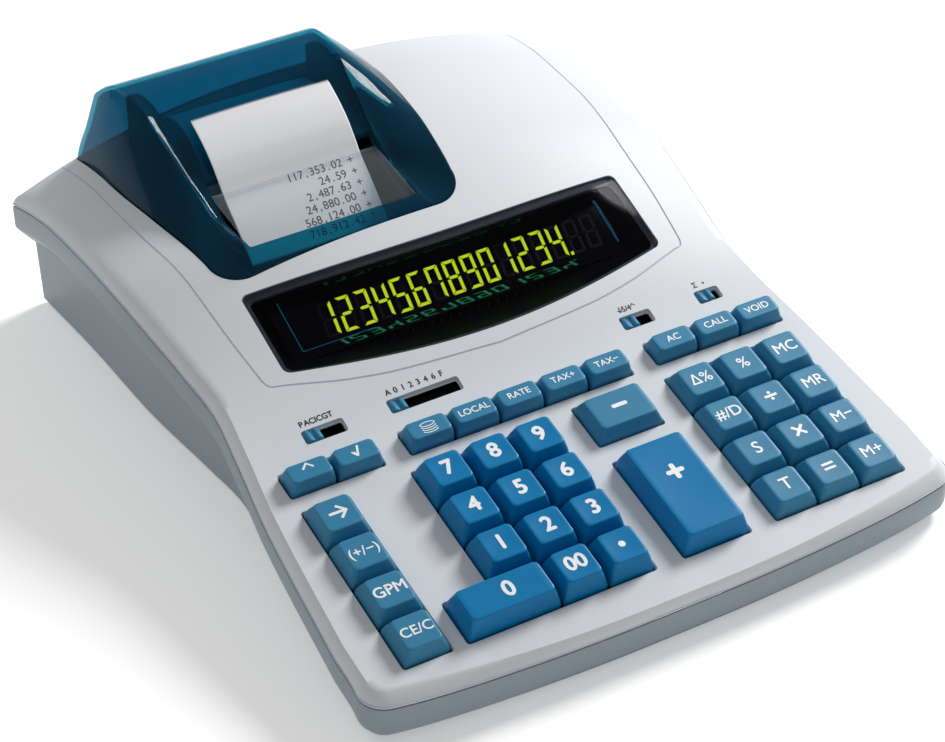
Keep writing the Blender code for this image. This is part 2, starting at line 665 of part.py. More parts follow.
def arch_profile():
    """The cover's long section, as (y, z) from the front bar over the dome to the rear."""
    def foot(y):
        return top_height(PRINTER_CENTRE, y)
    front_foot = foot(MOUTH_FRONT)
    lip = DOME_HEIGHT - front_foot
    return [
        (MOUTH_FRONT - 0.0010, front_foot), (MOUTH_FRONT + 0.0200, front_foot + 0.04 * lip),
        (MOUTH_REAR - 0.0060, front_foot + 0.22 * lip), (DOME_TOP - 0.0340, front_foot + 0.40 * lip),
        (DOME_TOP - 0.0212, front_foot + 0.72 * lip), (DOME_TOP - 0.0110, front_foot + 0.93 * lip),
        (DOME_TOP, DOME_HEIGHT), (DOME_TOP + 0.0085, DOME_HEIGHT - 0.0007),
        (DOME_TOP + 0.0140, DOME_HEIGHT - 0.0028), (DOME_TOP + 0.0190, DOME_HEIGHT - 0.0062),
        (DOME_TOP + 0.0235, DOME_HEIGHT - 0.0110), (COVER_REAR - 0.0015, DOME_HEIGHT - 0.0180)]


def cover_share(y):
    return min(max((y - COVER_FRONT) / (COVER_REAR - COVER_FRONT), 0.0), 1.0)


def cover_between(y, front, rear):
    """A size of the cover at y, between its front and rear values."""
    return front + (rear - front) * cover_share(y)


def foot_half(y):
    """Half width of the cover's foot: it spreads from the front and runs parallel near the hinge."""
    return COVER_HALF_FRONT + (COVER_HALF_REAR - COVER_HALF_FRONT) * FOOT_SPREAD(cover_share(y))


def arch_x(share, y):
    """Across position on the dome: share runs from -1 at the left arch to 1 at the right arch."""
    middle = cover_between(y, ARCH_SHIFT_FRONT, ARCH_SHIFT_REAR)
    return PRINTER_CENTRE + middle + share * cover_between(y, ARCH_HALF_FRONT, ARCH_HALF_REAR)


def scoop_depth(y):
    """How far the dome's front lies under its ridges at y; it fades out at the bar and at the dome's top."""
    behind_bar = min(1.0, max(0.0, (y - MOUTH_FRONT) / 0.020))
    return SCOOP * behind_bar * min(1.0, max(0.0, (DOME_TOP - y) / (DOME_TOP - MOUTH_REAR - 0.012)))


def cover_outline(inset, rear):
    """The cover's foot in plan, clockwise from the rear right: sides, rounded front corners, front."""
    right = [(foot_half(rear) - inset, rear)]
    steps = 7
    corner = COVER_CORNER - inset
    start = COVER_FRONT + COVER_CORNER
    for i in range(1, steps):
        y = rear + (start - rear) * i / (steps - 1)
        right.append((foot_half(y) - inset, y))
    reach = right[-1][0]
    for i in range(1, 6):
        turn = math.pi / 2 * i / 5
        right.append((reach - corner + corner * math.cos(turn), start - corner * math.sin(turn)))
    left = [(-x, y) for x, y in reversed(right)]
    return [(PRINTER_CENTRE + cover_between(y, COVER_SHIFT_FRONT, COVER_SHIFT_REAR) + x, y)
            for x, y in right + left]


def printer_cover():
    """Smoked cover: a skin from the foot's outline up to the two arches and over the dome."""
    bm = bmesh.new()
    feet = cover_outline(0.0, COVER_REAR)
    side = len(feet) // 2
    shares = (-1.0, -0.90, -0.60, -0.30, 0.0, 0.30, 0.60, 0.90, 1.0)
    across = len(shares) - 1

    def on_top(x, y):
        return Vector((x, y, top_height(x, y) + CLEARANCE))
    # One row of vertices for each point of the profile, from the left arch to the right arch.
    rows = []
    for y, z in arch_profile():
        row = []
        for share in shares:
            ridge = abs(share) == 1.0
            row.append(bm.verts.new((arch_x(share, y), y, z - (0.0 if ridge else scoop_depth(y)))))
        rows.append(row)
    rows.append([bm.verts.new(on_top(arch_x(1.06 * share, COVER_REAR), COVER_REAR)) for share in shares])
    for low, high in zip(rows, rows[1:]):
        for j in range(across):
            bm.faces.new((low[j], low[j + 1], high[j + 1], high[j]))
    # Feet from the rear right corner round the front to the rear left corner.
    feet_verts = [bm.verts.new(on_top(x, y)) for x, y in feet]
    right_arch = [row[-1] for row in reversed(rows)]
    left_arch = [row[0] for row in rows]
    bridge(bm, feet_verts[:side], right_arch)
    bridge(bm, feet_verts[side:], left_arch)
    (right_x, front_y), (left_x, _) = feet[side - 1], feet[side]
    bar = [bm.verts.new(on_top(left_x + (right_x - left_x) * (share + 1) / 2, front_y)) for share in shares[1:-1]]
    bar = [feet_verts[side], *bar, feet_verts[side - 1]]
    for j in range(across):
        bm.faces.new((bar[j], bar[j + 1], rows[0][j + 1], rows[0][j]))
    bmesh.ops.recalc_face_normals(bm, faces=bm.faces)
    if sum(f.normal.z * f.calc_area() for f in bm.faces) < 0:
        bmesh.ops.reverse_faces(bm, faces=bm.faces)
    mesh = bpy.data.meshes.new("printer_cover")
    bm.to_mesh(mesh)
    bm.free()
    made = add_object("printer_cover", mesh, SMOKE)
    pivot = Vector((0.0, HINGE_Y, HINGE_Z))
    mesh.transform(Matrix.Translation(-pivot))
    made.location = pivot
    wall = made.modifiers.new("wall", "SOLIDIFY")
    wall.thickness = COVER_WALL
    wall.offset = -1.0
    wall.use_even_offset = True
    return made


def bridge(bm, first, second):
    """Triangles between two open rows of vertices of unlike length, shared out by distance along each."""
    def shares(verts):
        lengths = [0.0]
        for a, b in zip(verts, verts[1:]):
            lengths.append(lengths[-1] + (a.co - b.co).length)
        return [length / lengths[-1] for length in lengths]
    one, two = shares(first), shares(second)
    i = j = 0
    while i < len(first) - 1 or j < len(second) - 1:
        step_first = j == len(second) - 1 or (i < len(first) - 1 and one[i + 1] <= two[j + 1])
        if step_first:
            bm.faces.new((first[i], first[i + 1], second[j]))
            i += 1
        else:
            bm.faces.new((first[i], second[j + 1], second[j]))
            j += 1


def prism(name, outline, low, high, collection=CUTTERS, coat=None):
    """A flat outline in plan, raised from one height to another."""
    bm = bmesh.new()
    face = bm.faces.new([bm.verts.new((x, y, low)) for x, y in outline])
    raised = bmesh.ops.extrude_face_region(bm, geom=[face])["geom"]
    for v in raised:
        if isinstance(v, bmesh.types.BMVert):
            v.co.z = high
    return finish_mesh(name, bm, coat, collection, smooth=False)


def mouth_half():
    return ARCH_HALF_FRONT - 0.0012


def tear_edge():
    """Where the tear bar's toothed edge is, as (y, z) of its upper side."""
    return MOUTH_REAR - 0.0051, top_height(PRINTER_CENTRE, MOUTH_FRONT) + 0.0033


def tear_bar():
    """Clear window over the front of the mouth, with teeth along its rear edge."""
    reach = mouth_half() - CLEARANCE
    front_y = MOUTH_FRONT + CLEARANCE
    front_z = top_height(PRINTER_CENTRE, MOUTH_FRONT) - 0.0006
    rear_y, rear_z = tear_edge()
    tooth = 0.0008
    outline = [(-reach, front_y), (reach, front_y)]
    for i in range(2 * TEETH + 1):
        x = reach - 2 * reach * i / (2 * TEETH)
        outline.append((x, rear_y - tooth * (i % 2)))

    def height(y):
        return front_z + (rear_z - front_z) * (y - front_y) / (rear_y - front_y)
    bm = bmesh.new()
    middle = arch_x(0.0, MOUTH_FRONT)
    face = bm.faces.new([bm.verts.new((middle + x, y, height(y))) for x, y in outline])
    lowered = bmesh.ops.extrude_face_region(bm, geom=[face])["geom"]
    for v in lowered:
        if isinstance(v, bmesh.types.BMVert):
            v.co.z -= TEAR_THICKNESS
    return finish_mesh("tear_bar", bm, CLEAR, smooth=False)


def paper_strip():
    """The printed strip, from over the platen up behind the tear bar and over the front of the dome."""
    edge_y, edge_z = tear_edge()
    dome = arch_profile()
    path = [
        (PLATEN_Y - 0.0020, PLATEN_HEIGHT + PLATEN_RADIUS + 0.0012), (PLATEN_Y + 0.0040, edge_z - 0.0150),
        (edge_y + 0.0012, edge_z - 0.0004), (dome[2][0] + 0.0022, dome[2][1] + 0.0036),
        (dome[3][0], dome[3][1] + 0.0022), (dome[4][0] - 0.0010, dome[4][1] + 0.0016),
        (dome[4][0] + 0.0022, dome[4][1] + 0.0038)]
    bm = bmesh.new()
    for y, z in path:
        bm.verts.new((PRINTER_CENTRE - PAPER_WIDTH / 2, y, z))
    bm.verts.ensure_lookup_table()
    edges = [bm.edges.new((bm.verts[i], bm.verts[i + 1])) for i in range(len(path) - 1)]
    swept = bmesh.ops.extrude_edge_only(bm, edges=edges)["geom"]
    for v in swept:
        if isinstance(v, bmesh.types.BMVert):
            v.co.x += PAPER_WIDTH
    bmesh.ops.recalc_face_normals(bm, faces=bm.faces)
    made = finish_mesh("paper_strip", bm, PAPER)
    sheet = made.modifiers.new("sheet", "SOLIDIFY")
    sheet.thickness = PAPER_THICKNESS
    sheet.offset = 0.0
    return made


def turned(name, profile, at, coat, sides=32):
    """A solid of revolution about X through the point at; profile is (radius, distance along X), top first."""
    mesh = bpy.data.meshes.new(name)
    loop = profile[0] == profile[-1]
    points = profile[:-1] if loop else profile
    edges = [(i, i + 1) for i in range(len(points) - 1)]
    if loop:
        edges.append((len(points) - 1, 0))
    mesh.from_pydata([(radius, 0.0, along) for radius, along in points], edges, [])
    made = add_object(name, mesh, coat)
    spin = made.modifiers.new("turn", "SCREW")
    spin.angle = 2 * math.pi
    spin.steps = sides
    spin.render_steps = sides
    spin.use_merge_vertices = True
    spin.merge_threshold = 1e-5
    made.matrix_world = Matrix.Translation(at) @ Matrix.Rotation(math.pi / 2, 4, "Y")
    return made


PLATEN_Y = REAR - PLATEN_FROM_REAR
ROLL_Y = REAR - ROLL_FROM_REAR
INK_Y = PLATEN_Y - PLATEN_RADIUS - INK_RADIUS - 0.0005
PLATE_INNER = PAPER_WIDTH / 2 + 0.0015
AXLE_REACH = PLATE_INNER + SIDE_PLATE + 0.0020


def stepped_roller(name, radius, y, z, coat):
    """A roller a little longer than the paper is wide, on an axle that passes both side plates."""
    body = PAPER_WIDTH / 2 + 0.0005
    profile = [(0.0, AXLE_REACH), (AXLE_RADIUS, AXLE_REACH), (AXLE_RADIUS, body), (radius, body),
               (radius, -body), (AXLE_RADIUS, -body), (AXLE_RADIUS, -AXLE_REACH), (0.0, -AXLE_REACH)]
    return turned(name, profile, Vector((PRINTER_CENTRE, y, z)), coat)


def paper_roll():
    edge = PAPER_WIDTH / 2
    profile = [(ROLL_CORE, edge), (PAPER_ROLL_RADIUS, edge), (PAPER_ROLL_RADIUS, -edge), (ROLL_CORE, -edge),
               (ROLL_CORE, edge)]
    return turned("paper_roll", profile, Vector((PRINTER_CENTRE, ROLL_Y, ROLL_HEIGHT)), PAPER, sides=48)


def printer_frame():
    """The printer's chassis: floor, two side plates with axle holes, and two pins that carry the roll."""
    front = INK_Y - INK_RADIUS
    rear = ROLL_Y + 0.010
    outer = PLATE_INNER + SIDE_PLATE
    size = (2 * outer, rear - front, SIDE_PLATE)
    middle = Vector((PRINTER_CENTRE, (front + rear) / 2, PRINTER_FLOOR + SIDE_PLATE / 2))
    frame = box_object("printer_frame", size, middle, STEEL)
    top = PLATEN_HEIGHT + PLATEN_RADIUS
    outline = [
        (front, PRINTER_FLOOR), (rear, PRINTER_FLOOR), (rear, ROLL_HEIGHT + 0.006),
        (ROLL_Y - 0.010, ROLL_HEIGHT + 0.006), (PLATEN_Y + 0.028, PLATEN_HEIGHT - 0.004),
        (PLATEN_Y + 0.010, top), (front, top)]
    bm = bmesh.new()
    for side in (-1, 1):
        inner = PRINTER_CENTRE + side * PLATE_INNER
        face = bm.faces.new([bm.verts.new((inner, y, z)) for y, z in outline])
        swept = bmesh.ops.extrude_face_region(bm, geom=[face])["geom"]
        for v in swept:
            if isinstance(v, bmesh.types.BMVert):
                v.co.x += side * SIDE_PLATE
    plates = finish_mesh("side_plates", bm, None, CUTTERS, smooth=False)
    combine(frame, plates, "UNION")
    bm = bmesh.new()
    pin = 0.004 + SIDE_PLATE
    for side in (-1, 1):
        x = PRINTER_CENTRE + side * (PLATE_INNER + SIDE_PLATE / 2 - pin / 2)
        rod(bm, ROLL_CORE - CLEARANCE, pin, Vector((x, ROLL_Y, ROLL_HEIGHT)))
    pins = finish_mesh("roll_pins", bm, None, CUTTERS, smooth=False)
    combine(frame, pins, "UNION")
    bm = bmesh.new()
    for y in (PLATEN_Y, INK_Y):
        rod(bm, AXLE_RADIUS + CLEARANCE, 4 * outer, Vector((PRINTER_CENTRE, y, PLATEN_HEIGHT)))
    holes = finish_mesh("axle_holes", bm, None, CUTTERS, smooth=False)
    combine(frame, holes, "DIFFERENCE")
    return frame


# ---------------------------------------------------------------- inside the case
BOARD_HALF = FRONT_WIDTH / 2 - BOARD_MARGIN
BOARD_FRONT = FIRST_ROW - KEY_PITCH / 2 - 0.0015
BOARD_REAR = SMALL_ROW + SMALL_KEY_DEPTH / 2 + 0.0015


def deck_panel(name, depth, thickness, coat):
    """A flat panel under the keys, parallel to the deck, with its upper side at the given depth."""
    middle = deck(0.0, (BOARD_FRONT + BOARD_REAR) / 2, -depth - thickness / 2)
    size = (2 * BOARD_HALF, BOARD_REAR - BOARD_FRONT, thickness)
    return box_object(name, size, middle, coat, DECK_TURN)


def key_plate():
    plate = deck_panel("key_plate", PLATE_DEPTH, PLATE_THICKNESS, BLACK)
    hole = STEM_WIDTH + 2 * CLEARANCE
    boxes = [(k.across, k.back, hole, hole) for k in KEYS]
    combine(plate, deck_cutter("stem_holes", boxes, 0.0, -PLATE_DEPTH - 0.01), "DIFFERENCE")
    return plate


def power_transformer():
    """Iron core with the winding standing out of it at front and rear."""
    width, depth, height = TRANSFORMER_SIZE
    floor = BASE_HEIGHT + WALL + CLEARANCE
    middle = Vector((CASE_WIDTH / 4 + 0.008, REAR - 0.062, floor + height / 2))
    core = box_object("power_transformer", (width, depth * 0.55, height), middle, STEEL)
    bm = bmesh.new()
    block(bm, (width * 0.62, depth, height * 0.66), middle)
    winding = finish_mesh("winding", bm, None, CUTTERS, smooth=False)
    combine(core, winding, "UNION")
    return core


def inlet_middle():
    width, depth, height = INLET_SIZE
    return Vector((INLET_X, REAR - depth / 2 - 0.0002, BASE_HEIGHT + WALL + 0.004 + height / 2))


def power_inlet():
    """Mains inlet let into the rear wall, with its socket open to the rear."""
    middle = inlet_middle()
    width, depth, height = INLET_SIZE
    inlet = box_object("power_inlet", INLET_SIZE, middle, BLACK)
    bm = bmesh.new()
    pocket = Vector((middle.x, REAR - POCKET_SIZE[1] / 2 + 0.001, middle.z))
    block(bm, (POCKET_SIZE[0], POCKET_SIZE[1] + 0.002, POCKET_SIZE[2]), pocket)
    cutter = finish_mesh("socket_pocket", bm, None, CUTTERS, smooth=False)
    combine(inlet, cutter, "DIFFERENCE")
    return inlet


def posts(base):
    """Stands the board and the printer on posts, and gives the case its two rear feet."""
    bm = bmesh.new()
    low = BASE_HEIGHT + WALL / 2
    for across in (-BOARD_HALF * 0.85, 0.0, BOARD_HALF * 0.85):
        for back in (BOARD_FRONT + 0.030, BOARD_REAR - 0.008):
            under = deck(across, back, -BOARD_DEPTH - BOARD_THICKNESS)
            top = under.z - CLEARANCE - POST_RADIUS * math.tan(DECK_SLOPE)
            rod(bm, POST_RADIUS, top - low, Vector((across, under.y, (top + low) / 2)), axis="Z", sides=12)
    for side in (-1, 1):
        for y in (INK_Y + 0.004, ROLL_Y):
            x = PRINTER_CENTRE + side * (PLATE_INNER - 0.006)
            top = PRINTER_FLOOR - CLEARANCE
            rod(bm, POST_RADIUS, top - low, Vector((x, y, (top + low) / 2)), axis="Z", sides=12)
        foot_x = side * (half(CASE_WIDTH) - 0.030)
        rod(bm, FOOT_DEPTH, low, Vector((foot_x, REAR - 0.022, low / 2)), axis="Z", sides=24)
    combine(base, finish_mesh("posts", bm, None, CUTTERS, smooth=False), "UNION")


def main():
    """Builds every piece."""
    case_top = top_case()
    case_base = bottom_case()
    for key in KEYS:
        key_object(key)
    groups, zero_row = well_boxes()
    openings = [deck_cutter("key_wells", groups, 0.02, -0.02), deck_cutter("zero_well", [zero_row], 0.02, -0.02)]
    slots = []
    for name, left, length in SLIDERS:
        slider_object(name, left)
        slots.append((left + length / 2, SLOT_ROW, length, SLOT_DEPTH))
    openings.append(deck_cutter("slider_slots", slots, 0.01, -0.01))
    openings.append(window_plate("window_opening", -LEDGE_WIDTH, 0.01, -0.01, None, CUTTERS))
    openings.append(window_plate("window_recess", 0.0, 0.01, -LENS_THICKNESS - CLEARANCE, None, CUTTERS))
    opening = cover_outline(-2 * CLEARANCE, REAR - WALL)
    openings.append(prism("printer_opening", opening, PLATEN_HEIGHT, DOME_HEIGHT + 0.02))
    for cutter in openings:
        combine(case_top, cutter, "DIFFERENCE")
    window_plate("display_lens", -CLEARANCE, 0.0, -LENS_THICKNESS, LENS)
    display_tube()
    cover = printer_cover()
    mouth = [(arch_x(0.0, MOUTH_FRONT) + sx * mouth_half(), y) for sx, y in
             ((-1, MOUTH_FRONT), (1, MOUTH_FRONT), (1, MOUTH_REAR), (-1, MOUTH_REAR))]
    combine(cover, prism("mouth", mouth, PLATEN_HEIGHT, DOME_HEIGHT + 0.02), "DIFFERENCE")
    tear_bar()
    paper_strip()
    paper_roll()
    stepped_roller("platen_roller", PLATEN_RADIUS, PLATEN_Y, PLATEN_HEIGHT, RUBBER)
    stepped_roller("ink_roller", INK_RADIUS, INK_Y, PLATEN_HEIGHT, INK)
    printer_frame()
    key_plate()
    deck_panel("circuit_board", BOARD_DEPTH, BOARD_THICKNESS, BOARD)
    power_transformer()
    power_inlet()
    middle = inlet_middle()
    bm = bmesh.new()
    gap = 2 * CLEARANCE
    block(bm, (INLET_SIZE[0] + gap, 0.02, INLET_SIZE[2] + gap), Vector((middle.x, REAR, middle.z)))
    combine(case_base, finish_mesh("inlet_hole", bm, None, CUTTERS, smooth=False), "DIFFERENCE")
    posts(case_base)
    strip = (FRONT_WIDTH - 0.060, FOOT_DEPTH, BASE_HEIGHT - CLEARANCE)
    box_object("front_foot_strip", strip, Vector((0.0, FRONT + 0.027, strip[2] / 2)), RUBBER)


main()
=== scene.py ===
"""Looks of a desk printing calculator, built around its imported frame.

Every sub-assembly is a class with its sizes as fields; every finish is a small frozen dataclass.
Lengths are in metres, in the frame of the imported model: +X right, +Y to the rear, +Z up.
"""

import json
import logging
import math
from collections.abc import Callable, Sequence
from dataclasses import dataclass, field
from enum import Enum

import bmesh
import bpy
import numpy as np
from mathutils import Matrix, Vector

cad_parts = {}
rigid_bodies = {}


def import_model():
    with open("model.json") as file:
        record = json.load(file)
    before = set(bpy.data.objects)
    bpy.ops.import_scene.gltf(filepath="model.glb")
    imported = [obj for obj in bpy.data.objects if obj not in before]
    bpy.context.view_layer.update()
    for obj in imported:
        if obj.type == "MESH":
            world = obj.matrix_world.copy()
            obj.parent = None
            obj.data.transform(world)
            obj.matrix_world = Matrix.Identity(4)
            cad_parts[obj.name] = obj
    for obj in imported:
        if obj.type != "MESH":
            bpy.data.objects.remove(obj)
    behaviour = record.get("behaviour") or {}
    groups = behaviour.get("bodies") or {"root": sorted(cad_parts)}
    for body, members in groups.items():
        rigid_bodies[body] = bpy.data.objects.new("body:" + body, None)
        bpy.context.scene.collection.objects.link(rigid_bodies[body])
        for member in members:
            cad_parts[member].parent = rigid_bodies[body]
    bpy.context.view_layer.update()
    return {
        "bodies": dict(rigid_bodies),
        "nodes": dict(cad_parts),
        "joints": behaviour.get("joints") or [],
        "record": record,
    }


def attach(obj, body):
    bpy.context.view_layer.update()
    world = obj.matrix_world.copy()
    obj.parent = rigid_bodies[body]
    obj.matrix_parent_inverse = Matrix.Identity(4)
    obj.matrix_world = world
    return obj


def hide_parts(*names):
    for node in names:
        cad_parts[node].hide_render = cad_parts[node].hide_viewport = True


LOG = logging.getLogger("desk_calculator")
Piece = bpy.types.Object
Mesh = bpy.types.Mesh
BMesh = bmesh.types.BMesh
Material = bpy.types.Material
Point = tuple[float, float, float]
Colour = tuple[float, float, float]


class Body(Enum):
    """The bodies of the frame that new pieces ride on, apart from the keys' and the switches'."""

    CASE = "case"
    COVER = "cover"


class Slot(Enum):
    """Material slots of the record, listed beside new pieces in the build loops; nothing reads them."""

    WHITE = "case_white"
    GREY = "base_grey"
    BRIGHT = "figure_key_blue"
    MUTED = "function_key_blue"
    SMOKE = "smoked_blue"
    LENS = "display_smoke"
    TUBE = "tube_glass"
    CLEAR = "clear_plastic"
    PAPER = "paper"
    RUBBER = "rubber"
    BLACK = "black_plastic"
    STEEL = "steel"


class Curve:
    """A smooth curve through points that never overshoots them."""

    def __init__(self, *points: tuple[float, float]) -> None:
        """Sets the curve up.

        Args:
            points: The (x, y) points it passes through.
        """
        self.xs, self.ys = (np.array(v) for v in zip(*sorted(points)))
        self.steps = np.diff(self.xs)
        slopes = np.diff(self.ys) / self.steps
        self.tangents = np.zeros_like(self.ys)
        for i in range(1, len(self.xs) - 1):
            if slopes[i - 1] * slopes[i] > 0:
                first = 2 * self.steps[i] + self.steps[i - 1]
                second = self.steps[i] + 2 * self.steps[i - 1]
                self.tangents[i] = (first + second) / (first / slopes[i - 1] + second / slopes[i])
        self.tangents[0], self.tangents[-1] = slopes[0], slopes[-1]

    def __call__(self, x: float) -> float:
        """Height of the curve at x, held level past its ends."""
        x = min(max(x, self.xs[0]), self.xs[-1])
        i = min(int(np.searchsorted(self.xs, x, side="right")) - 1, len(self.steps) - 1)
        h = self.steps[i]
        t = (x - self.xs[i]) / h
        return float((1 + 2 * t) * (1 - t) ** 2 * self.ys[i] + t * (1 - t) ** 2 * h * self.tangents[i]
                     + t * t * (3 - 2 * t) * self.ys[i + 1] + t * t * (t - 1) * h * self.tangents[i + 1])


def wire(links: bpy.types.NodeLinks, *pairs: tuple) -> None:
    """Links sockets of a node tree.

    Args:
        links: The tree's links.
        pairs: For each link, the node and output it leaves and the node and input it reaches.
    """
    for source, leaves, target, reaches in pairs:
        links.new(source.outputs[leaves], target.inputs[reaches])


def preset(node: bpy.types.Node, values: dict) -> None:
    """Sets the inputs of a node that nothing is linked to."""
    for name, value in values.items():
        node.inputs[name].default_value = value


# ---- meshes
class Maker:
    """Mesh work that every sub-assembly uses."""

    @staticmethod
    def add(name: str, mesh: Mesh, finish: Material | None) -> Piece:
        """Links a mesh into the scene as an object at the origin.

        Args:
            name: The new object's name.
            mesh: Its mesh, already in place.
            finish: Its material, or None for a cutter.

        Returns:
            The new object.
        """
        made = bpy.data.objects.new(name, mesh)
        if finish is not None:
            mesh.materials.clear()
            mesh.materials.append(finish)
        bpy.context.scene.collection.objects.link(made)
        return made

    @staticmethod
    def build(name: str, bm: BMesh, finish: Material | None, smooth: float = 40.0,
              turn_out: bool = True) -> Piece:
        """Turns a bmesh into an object.

        Args:
            name: The new object's name.
            bm: The mesh data, which is freed.
            finish: Its material.
            smooth: Edges sharper than this many degrees stay sharp; 0 gives flat faces.
            turn_out: Whether the faces are turned outwards first.

        Returns:
            The new object.
        """
        if turn_out:
            bmesh.ops.recalc_face_normals(bm, faces=bm.faces)
        mesh = bpy.data.meshes.new(name)
        bm.to_mesh(mesh)
        bm.free()
        if smooth:
            Maker.shade(mesh, smooth)
        return Maker.add(name, mesh, finish)

    @staticmethod
    def block(bm: BMesh, size: Point, at: Vector, turn: Matrix | None = None) -> None:
        """Adds a box about a point.

        Args:
            bm: Mesh that takes the box.
            size: Its three sides.
            at: Its middle.
            turn: A turn about its middle.
        """
        turn = turn if turn is not None else Matrix.Identity(4)
        place = Matrix.Translation(at) @ turn @ Matrix.Diagonal((*size, 1.0))
        bmesh.ops.create_cube(bm, size=1.0, matrix=place)

    @staticmethod
    def skin(bm: BMesh, rings: Sequence[Sequence[Vector]], closed: bool = True) -> list[list]:
        """Adds quads between successive rows of points.

        Args:
            bm: Mesh that takes them.
            rings: Rows with the same number of points.
            closed: Whether each row's last point joins its first.

        Returns:
            The rows of new vertices.
        """
        loops = [[bm.verts.new(p) for p in ring] for ring in rings]
        for one, two in zip(loops, loops[1:]):
            count = len(one)
            for i in range(count if closed else count - 1):
                n = (i + 1) % count
                bm.faces.new((one[i], two[i], two[n], one[n]))
        return loops

    @staticmethod
    def plug(bm: BMesh, rings: Sequence[Sequence[Vector]]) -> None:
        """Adds a closed solid skinned over rings, with a flat face over each end."""
        loops = Maker.skin(bm, rings)
        for end in (loops[0], loops[-1]):
            bm.faces.new(end)

    @staticmethod
    def cut(target: Piece, *tools: Piece) -> None:
        """Cuts tools out of a target for good, and removes the tools.

        Args:
            target: The object that is cut.
            tools: The objects that are taken out of it.
        """
        for tool in tools:
            step = target.modifiers.new("cut", "BOOLEAN")
            step.operation = "DIFFERENCE"
            step.solver = "EXACT"
            step.object = tool
        Maker.apply(target)
        for tool in tools:
            bpy.data.objects.remove(tool)

    @staticmethod
    def apply(target: Piece) -> None:
        """Replaces an object's mesh by what its modifiers make of it, and clears them."""
        graph = bpy.context.evaluated_depsgraph_get()
        graph.update()
        mesh = bpy.data.meshes.new_from_object(target.evaluated_get(graph))
        target.modifiers.clear()
        target.data = mesh

    @staticmethod
    def thicken(target: Piece, thickness: float, offset: float) -> None:
        """Gives a sheet a wall, centred for an offset of 0 and inwards for -1."""
        wall = target.modifiers.new("wall", "SOLIDIFY")
        wall.thickness = thickness
        wall.offset = offset
        Maker.apply(target)

    @staticmethod
    def shade(mesh: Mesh, degrees: float) -> None:
        """Shades a mesh smooth but for edges sharper than some degrees."""
        mesh.shade_smooth()
        mesh.set_sharp_from_angle(angle=math.radians(degrees))

    @staticmethod
    def soften(target: Piece, width: float, segments: int = 2, angle: float = 30.0) -> None:
        """Rounds an object's sharp edges.

        Args:
            target: The object.
            width: Width of the rounding.
            segments: How many faces go round it.
            angle: Edges sharper than this many degrees are rounded.
        """
        bevel = target.modifiers.new("round_edges", "BEVEL")
        bevel.width = width
        bevel.segments = segments
        bevel.limit_method = "ANGLE"
        bevel.angle_limit = math.radians(angle)
        Maker.apply(target)
        Maker.shade(target.data, 40)

    @staticmethod
    def copy_node(node: str, frame: dict, name: str, finish: Material) -> Piece:
        """A merged copy of a node of the frame, with its flat faces joined up.

        Args:
            node: The node's name.
            name: The copy's name.
            finish: Its material.

        Returns:
            The copy.
        """
        bm = bmesh.new()
        bm.from_mesh(frame["nodes"][node].data)
        bmesh.ops.remove_doubles(bm, verts=bm.verts, dist=1e-6)
        bmesh.ops.dissolve_limit(bm, angle_limit=math.radians(1), verts=bm.verts, edges=bm.edges)
        return Maker.build(name, bm, finish)

    @staticmethod
    def text(words: str, size: float, thicken: float = 0.0) -> Mesh:
        """Flat lettering about the origin, in the plane of X and Y.

        Args:
            words: What it says.
            size: Height of a line.
            thicken: How much the strokes are widened, as a share of the size.

        Returns:
            The mesh.
        """
        curve = bpy.data.curves.new("lettering", "FONT")
        curve.body = words
        curve.size = size
        curve.align_x = "CENTER"
        curve.align_y = "CENTER"
        curve.fill_mode = "FRONT"
        holder = bpy.data.objects.new("lettering", curve)
        bpy.context.scene.collection.objects.link(holder)
        graph = bpy.context.evaluated_depsgraph_get()
        graph.update()
        plain = bpy.data.meshes.new_from_object(holder.evaluated_get(graph))
        bpy.data.objects.remove(holder)
        if not thicken:
            return plain
        bm = bmesh.new()
        shift = thicken * size
        for i, (x, y) in enumerate(((0, 0), (1, 0), (-1, 0), (0, 1), (0, -1))):
            copy = plain.copy()
            copy.transform(Matrix.Translation((x * shift, y * shift, -0.000001 * i)))
            bm.from_mesh(copy)
        mesh = bpy.data.meshes.new("lettering")
        bm.to_mesh(mesh)
        bm.free()
        return mesh

    @staticmethod
    def lay(name: str, meshes: Sequence[Mesh], place: Callable[[Vector], Vector], thickness: float,
            finish: Material) -> Piece:
        """Lays flat lettering on a surface as one thin closed piece.

        Args:
            name: The piece's name.
            meshes: Flat meshes in the plane of X and Y.
            place: Gives the place of a flat point; its Z is the height over the surface.
            thickness: How thick the ink is.
            finish: Its material.

        Returns:
            The piece.
        """
        bm = bmesh.new()
        for mesh in meshes:
            bm.from_mesh(mesh)
        bmesh.ops.remove_doubles(bm, verts=bm.verts, dist=2e-8)
        faces = list(bm.faces)
        for face in faces:
            face.smooth = False
            if face.normal.z < 0:
                face.normal_flip()
        lifted = bmesh.ops.extrude_face_region(bm, geom=faces)["geom"]
        for v in lifted:
            if isinstance(v, bmesh.types.BMVert):
                v.co.z += thickness
        base = [f for f in faces if f.is_valid]
        for face in base:
            face.normal_flip()
        for v in bm.verts:
            v.co = place(v.co.copy())
        return Maker.build(name, bm, finish, smooth=0.0)


